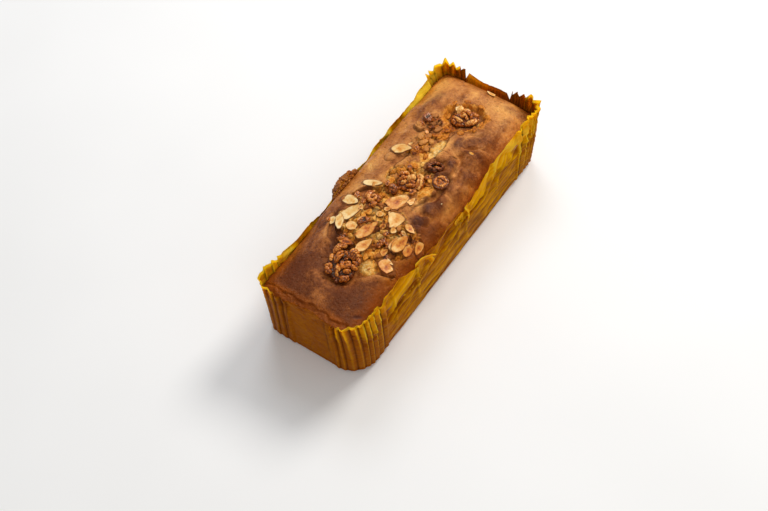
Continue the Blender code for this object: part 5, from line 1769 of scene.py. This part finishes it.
# Lumps of cake: place, half length, half width, half height, turn, from 0 crust to 1 crumb, and how
# pale the crumb or baked the crust is.
LUMPS = (
    (-55.0, -9.0, 2.6, 1.8, 1.3, 20.0, 1.0, 0.52), (-51.6, -11.0, 2.3, 1.7, 1.2, -20.0, 1.0, 0.56),
    (-48.0, -13.0, 2.4, 1.6, 1.2, 10.0, 1.0, 0.50), (-28.0, 6.7, 2.2, 1.5, 1.1, 0.0, 1.0, 0.46),
    (-32.0, 8.4, 2.6, 1.7, 1.2, 30.0, 1.0, 0.50), (-35.5, 9.5, 2.0, 1.6, 1.0, -30.0, 1.0, 0.42),
    (34.5, 5.0, 2.6, 1.9, 1.2, 20.0, 0.2, 0.50), (37.5, 9.0, 3.0, 2.1, 1.4, -30.0, 0.2, 0.56),
    (41.0, 5.5, 2.4, 1.7, 1.2, 50.0, 0.2, 0.48), (40.5, 13.0, 2.8, 2.0, 1.2, 10.0, 0.2, 0.60),
    (44.0, 9.0, 2.0, 1.6, 1.0, -20.0, 0.2, 0.46), (36.0, 15.0, 2.2, 1.6, 1.0, 60.0, 0.1, 0.64),
    (29.0, 2.0, 2.4, 1.8, 1.1, 20.0, 1.0, 0.32), (31.5, 4.6, 1.8, 1.4, 1.0, 0.0, 1.0, 0.26),
    (19.0, 3.4, 2.4, 1.8, 1.0, 40.0, 1.0, 0.38), (48.0, 4.0, 2.2, 1.6, 1.0, 0.0, 1.0, 0.28),
    (55.0, 2.0, 2.2, 1.5, 0.9, -30.0, 1.0, 0.24), (22.8, -0.2, 1.8, 1.4, 0.9, 0.0, 1.0, 0.72),
    (67.7, 9.3, 2.4, 1.5, 1.0, 30.0, 0.9, 0.34), (76.7, 10.6, 2.6, 1.5, 1.0, -10.0, 0.9, 0.30),
    (83.3, 4.3, 2.4, 1.4, 1.0, -70.0, 0.9, 0.28), (84.7, -5.3, 2.2, 1.5, 1.0, -95.0, 0.9, 0.32),
    (72.9, -12.7, 2.6, 1.5, 1.0, 10.0, 0.9, 0.40), (64.0, -13.1, 2.2, 1.4, 1.0, 20.0, 0.9, 0.30),
    (56.5, -7.0, 2.4, 1.4, 0.9, -60.0, 0.9, 0.28), (60.3, 5.5, 2.4, 1.5, 1.0, 60.0, 0.9, 0.36),
    (72.8, -11.3, 1.8, 1.0, 0.8, 0.0, 1.0, 0.80),
    # The tiny very pale lump at (3.5, -26.8) is a painted highlight: a glint on the crust.
    (3.5, -26.8, 0.45, 0.4, 0.4, 0.0, 1.0, 1.20), (49.5, 20.5, 2.6, 1.8, 1.0, 60.0, 0.1, 0.62),
    (-21.0, 37.2, 2.2, 1.6, 1.3, 0.0, 1.0, 0.50), (-8.0, 16.5, 2.4, 1.6, 1.0, 20.0, 0.4, 0.60),
)
# Bits of walnut: place, half length, half width, half height, turn, tone.
BITS = (
    (-35.4, 5.2, 4.4, 2.3, 1.8, -44.0, 0.20), (-52.0, 11.0, 3.2, 1.7, 1.5, -30.0, 0.26),
    (-20.0, 21.7, 2.6, 1.9, 1.3, 20.0, 0.34), (56.0, 17.7, 3.6, 2.5, 1.9, 60.0, 0.10),
    (51.5, 19.5, 2.4, 1.6, 1.2, 40.0, 0.30), (-4.6, 4.0, 2.6, 2.0, 1.4, 0.0, 0.16),
    (16.5, 6.0, 2.4, 1.8, 1.4, 30.0, 0.36), (-1.0, -8.0, 2.6, 1.7, 1.3, -20.0, 0.38),
    (15.0, -8.5, 2.4, 1.6, 1.3, -60.0, 0.30), (-3.5, 9.5, 2.2, 1.6, 1.2, 30.0, 0.34),
    (-45.5, -8.8, 2.4, 1.5, 1.2, 0.0, 0.34), (-40.0, -14.8, 2.0, 1.4, 1.2, 30.0, 0.28),
    (-35.5, -11.0, 2.2, 1.5, 1.1, -20.0, 0.30), (-48.6, -19.6, 2.2, 1.4, 1.2, 10.0, 0.22),
    (-22.5, 8.0, 2.2, 1.5, 1.1, -50.0, 0.36), (-24.0, 14.5, 2.0, 1.3, 1.0, 10.0, 0.26),
    (-57.0, -2.5, 2.4, 1.6, 1.4, 30.0, 0.30), (-30.0, -17.5, 2.0, 1.3, 1.0, 60.0, 0.30),
    (30.0, 9.5, 2.0, 1.4, 1.0, 30.0, 0.36), (-43.5, 27.5, 2.0, 1.3, 0.9, 0.0, 0.40),
)
# How many crumbs are scattered, and the seeds of the small pieces.
CRUMB_COUNT = 40
LUMP_SEED, CRUMB_SEED, BIT_SEED, BIT_SKIN_SEED, OVERFLOW_SEED = 1000, 1100, 1500, 1550, 1700


def ball(fineness):
    """Points and faces of a ball of radius one."""
    body = bmesh.new()
    bmesh.ops.create_icosphere(body, subdivisions=fineness, radius=1.0)
    points = np.array([v.co for v in body.verts])
    faces = np.array([[v.index for v in f.verts] for f in body.faces])
    body.free()
    return points, faces


def join_lumps(table, sink, fineness, seed):
    """Rough lumps on the crust from a table's places, half sizes and turns: their points and faces,
    how many points each has, and each point's height in its lump. Sink is where a lump's middle lies
    above the crust, as a part of its half height."""
    unit, unit_faces = ball(fineness)
    points, faces = [], []
    ground, _ = crust(table[:, 0], table[:, 1])
    for k, (x, y, along, across, up, turn, *_) in enumerate(table):
        swell = 1.0 + 0.30 * noise(seed + k, *(1.5 * unit.T + 3.0))
        swell = swell + 0.13 * noise(seed + k + 400, *(3.4 * unit.T))
        p, q, r = (unit * swell[:, None]).T
        r = np.minimum(r, 0.62 + 0.12 * noise(seed + k + 800, 2.5 * p, 2.5 * q))
        tip = 0.3 * (lattice(seed, np.int64(k)) - 0.5)
        p, q, r = along * p, across * q, up * r + tip * along * p
        points.append(np.column_stack((*turned(x, y, p, q, turn), ground[k] + sink * up + r)))
        faces += (unit_faces + k * len(unit)).tolist()
    return np.vstack(points), faces, len(unit), np.tile(unit[:, 2], len(table))


def clear_of_toppings(x, y):
    """Whether a place lies beside every large flake and walnut."""
    away = [q for _, q in flake_fields(x, y)] + [1.05 * q for q, _ in pocket_fields(x, y)]
    return np.minimum.reduce(away) > 1.0


def scattered_lumps():
    """Places, sizes and looks of the small lumps among the toppings."""
    picks = np.random.default_rng(7)
    rows = []
    while len(rows) < CRUMB_COUNT:
        cx, cy, along, across, turn, light = RUBBLE[picks.integers(len(RUBBLE))]
        angle, reach = picks.uniform(0.0, TURN), math.sqrt(picks.uniform())
        x, y = turned(cx, cy, along * reach * math.cos(angle), across * reach * math.sin(angle), turn)
        size = 1.1 + 2.2 * picks.uniform() ** 1.6
        look = picks.uniform()
        if clear_of_toppings(np.array([x]), np.array([y]))[0]:
            rows.append((x, y, size, size * picks.uniform(0.5, 0.8),
                         0.35 + 0.25 * size * picks.uniform(0.6, 1.2), picks.uniform(0.0, 180.0),
                         1.0 if look > 0.4 else 0.2, light + 0.30 * look - 0.1))
    return rows


def make_lumps():
    for name, rows, seed in (("cake_lumps", LUMPS, LUMP_SEED),
                             ("cake_crumbs", scattered_lumps(), CRUMB_SEED)):
        table = np.array(rows)
        points, faces, count, levels = join_lumps(table, 0.15, 3, seed)
        crumb, look = np.repeat(table[:, 6], count), np.repeat(table[:, 7] - 0.10, count)
        nothing = np.zeros(len(points))
        # The lower part of each lump is painted darker as shade where it meets the crust.
        lumps = make_mesh(name, points, faces, CRUST, {
            "crumb": crumb, "pale": look, "bake_and_highlight": np.maximum(look, 0.50), "char_and_shade": nothing, "gold": nothing,
            "crease": 0.55 * ease((0.15 - levels) / 0.4)})
        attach(lumps, "root")


def make_bits():
    table = np.array(BITS)
    points, faces, count, _ = join_lumps(table, 0.5, 4, BIT_SEED)
    bits = make_mesh("walnut_bits", points, faces, WALNUT, {"tone": np.repeat(table[:, 6], count)})
    fold_skin(bits.data, BIT_SKIN_SEED, 0.6)
    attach(bits, "root")


make_lumps()
make_bits()

# The lump that has run over the left rim: points along it and its thickness there.
OVERFLOW_INNER = ((-24.0, 37.6, 46.0, 1.6), (-19.0, 38.8, 47.0, 2.3), (-12.5, 39.8, 47.8, 2.8),
                  (-6.0, 39.8, 48.0, 2.8), (0.0, 38.8, 47.2, 2.1))
OVERFLOW_OUTER = ((-19.0, 41.2, 46.0, 1.6), (-10.0, 42.0, 46.6, 1.9), (-3.5, 41.4, 46.6, 1.6))
# The size of its mesh's cells, and how deep its skin folds.
OVERFLOW_VOXEL = 0.3
OVERFLOW_FOLDS = 1.2


def make_overflow():
    balls = list(OVERFLOW_INNER + OVERFLOW_OUTER)
    for line in (OVERFLOW_INNER, OVERFLOW_OUTER):
        for a, b in itertools.pairwise(line):
            balls += [[u + (w - u) * t for u, w in zip(a, b)] for t in (0.2, 0.4, 0.6, 0.8)]
    mesh = remeshed("cake_overflow", [(place, radius) for *place, radius in balls], OVERFLOW_VOXEL)
    points = fold_skin(mesh, OVERFLOW_SEED, OVERFLOW_FOLDS)
    deep = np.zeros(len(points))
    mesh.attributes["hollow_shade"].data.foreach_get("value", deep)
    x, y, _ = points.T
    # Painted shade in the deep places of its folds.
    painted = {
        "bake_and_highlight": 0.66 + 0.24 * mottle(OVERFLOW_SEED + 10, x, y, 2.4),
        "crumb": 0.75 * ease(0.4 + 1.6 * mottle(OVERFLOW_SEED + 12, x, y, 2.6)),
        "pale": 0.22 + 0.25 * mottle(OVERFLOW_SEED + 13, x, y, 2.0),
        "char_and_shade": 0.30 + 0.35 * mottle(OVERFLOW_SEED + 11, x, y, 4.0),
        "gold": np.full(len(points), 0.45),
        "crease": np.clip(deep, 0.0, 0.8),
    }
    for key, values in painted.items():
        set_values(mesh, key, values)
    lump = show("cake_overflow", mesh, CRUST)
    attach(lump, "root")


make_overflow()

# ---------------------------------------------------------------- floor and light

# Half the floor's side, and how far it lies below the case's flat bottom.
FLOOR_HALF = 1500.0
FLOOR_DROP = 0.05
WORLD_STRENGTH = 0.43
# Lights, each a soft disc aimed at the loaf: name, place, size, power and colour.
LIGHT_TARGET = (0.0, 0.0, 0.03)
LIGHTS = (
    ("window", (0.92, -0.16, 0.95), 0.5, 10.6, (1.0, 0.98, 0.95)),
    ("sky", (0.62, 0.50, 1.05), 0.6, 4.4, (0.86, 0.91, 1.0)),
    ("fill", (-0.60, -0.60, 0.85), 0.6, 1.6, (1.0, 0.98, 0.94)),
)


def make_floor():
    points = [(FLOOR_HALF * a, FLOOR_HALF * b, 0.0) for a, b in ((-1, -1), (1, -1), (1, 1), (-1, 1))]
    floor = make_mesh("floor", points, [(0, 1, 2, 3)], floor_paint())
    floor.location.z = -FLOOR_DROP * MM


def make_light(name, place, size, power, colour):
    data = bpy.data.lights.new(name, "AREA")
    data.shape = "DISK"
    data.size = size
    data.energy = power
    data.color = colour
    light = add_object(name, data)
    direction = Vector(LIGHT_TARGET) - Vector(place)
    light.rotation_euler = direction.to_track_quat("-Z", "Y").to_euler()
    light.location = place


def make_world():
    world = bpy.data.worlds.new("studio")
    world.use_nodes = True
    background = world.node_tree.nodes["Background"]
    background.inputs["Color"].default_value = (1.0, 1.0, 1.0, 1.0)
    background.inputs["Strength"].default_value = WORLD_STRENGTH
    bpy.context.scene.world = world


make_floor()
make_world()
for lamp in LIGHTS:
    make_light(*lamp)
bpy.context.scene.view_settings.view_transform = "Standard"
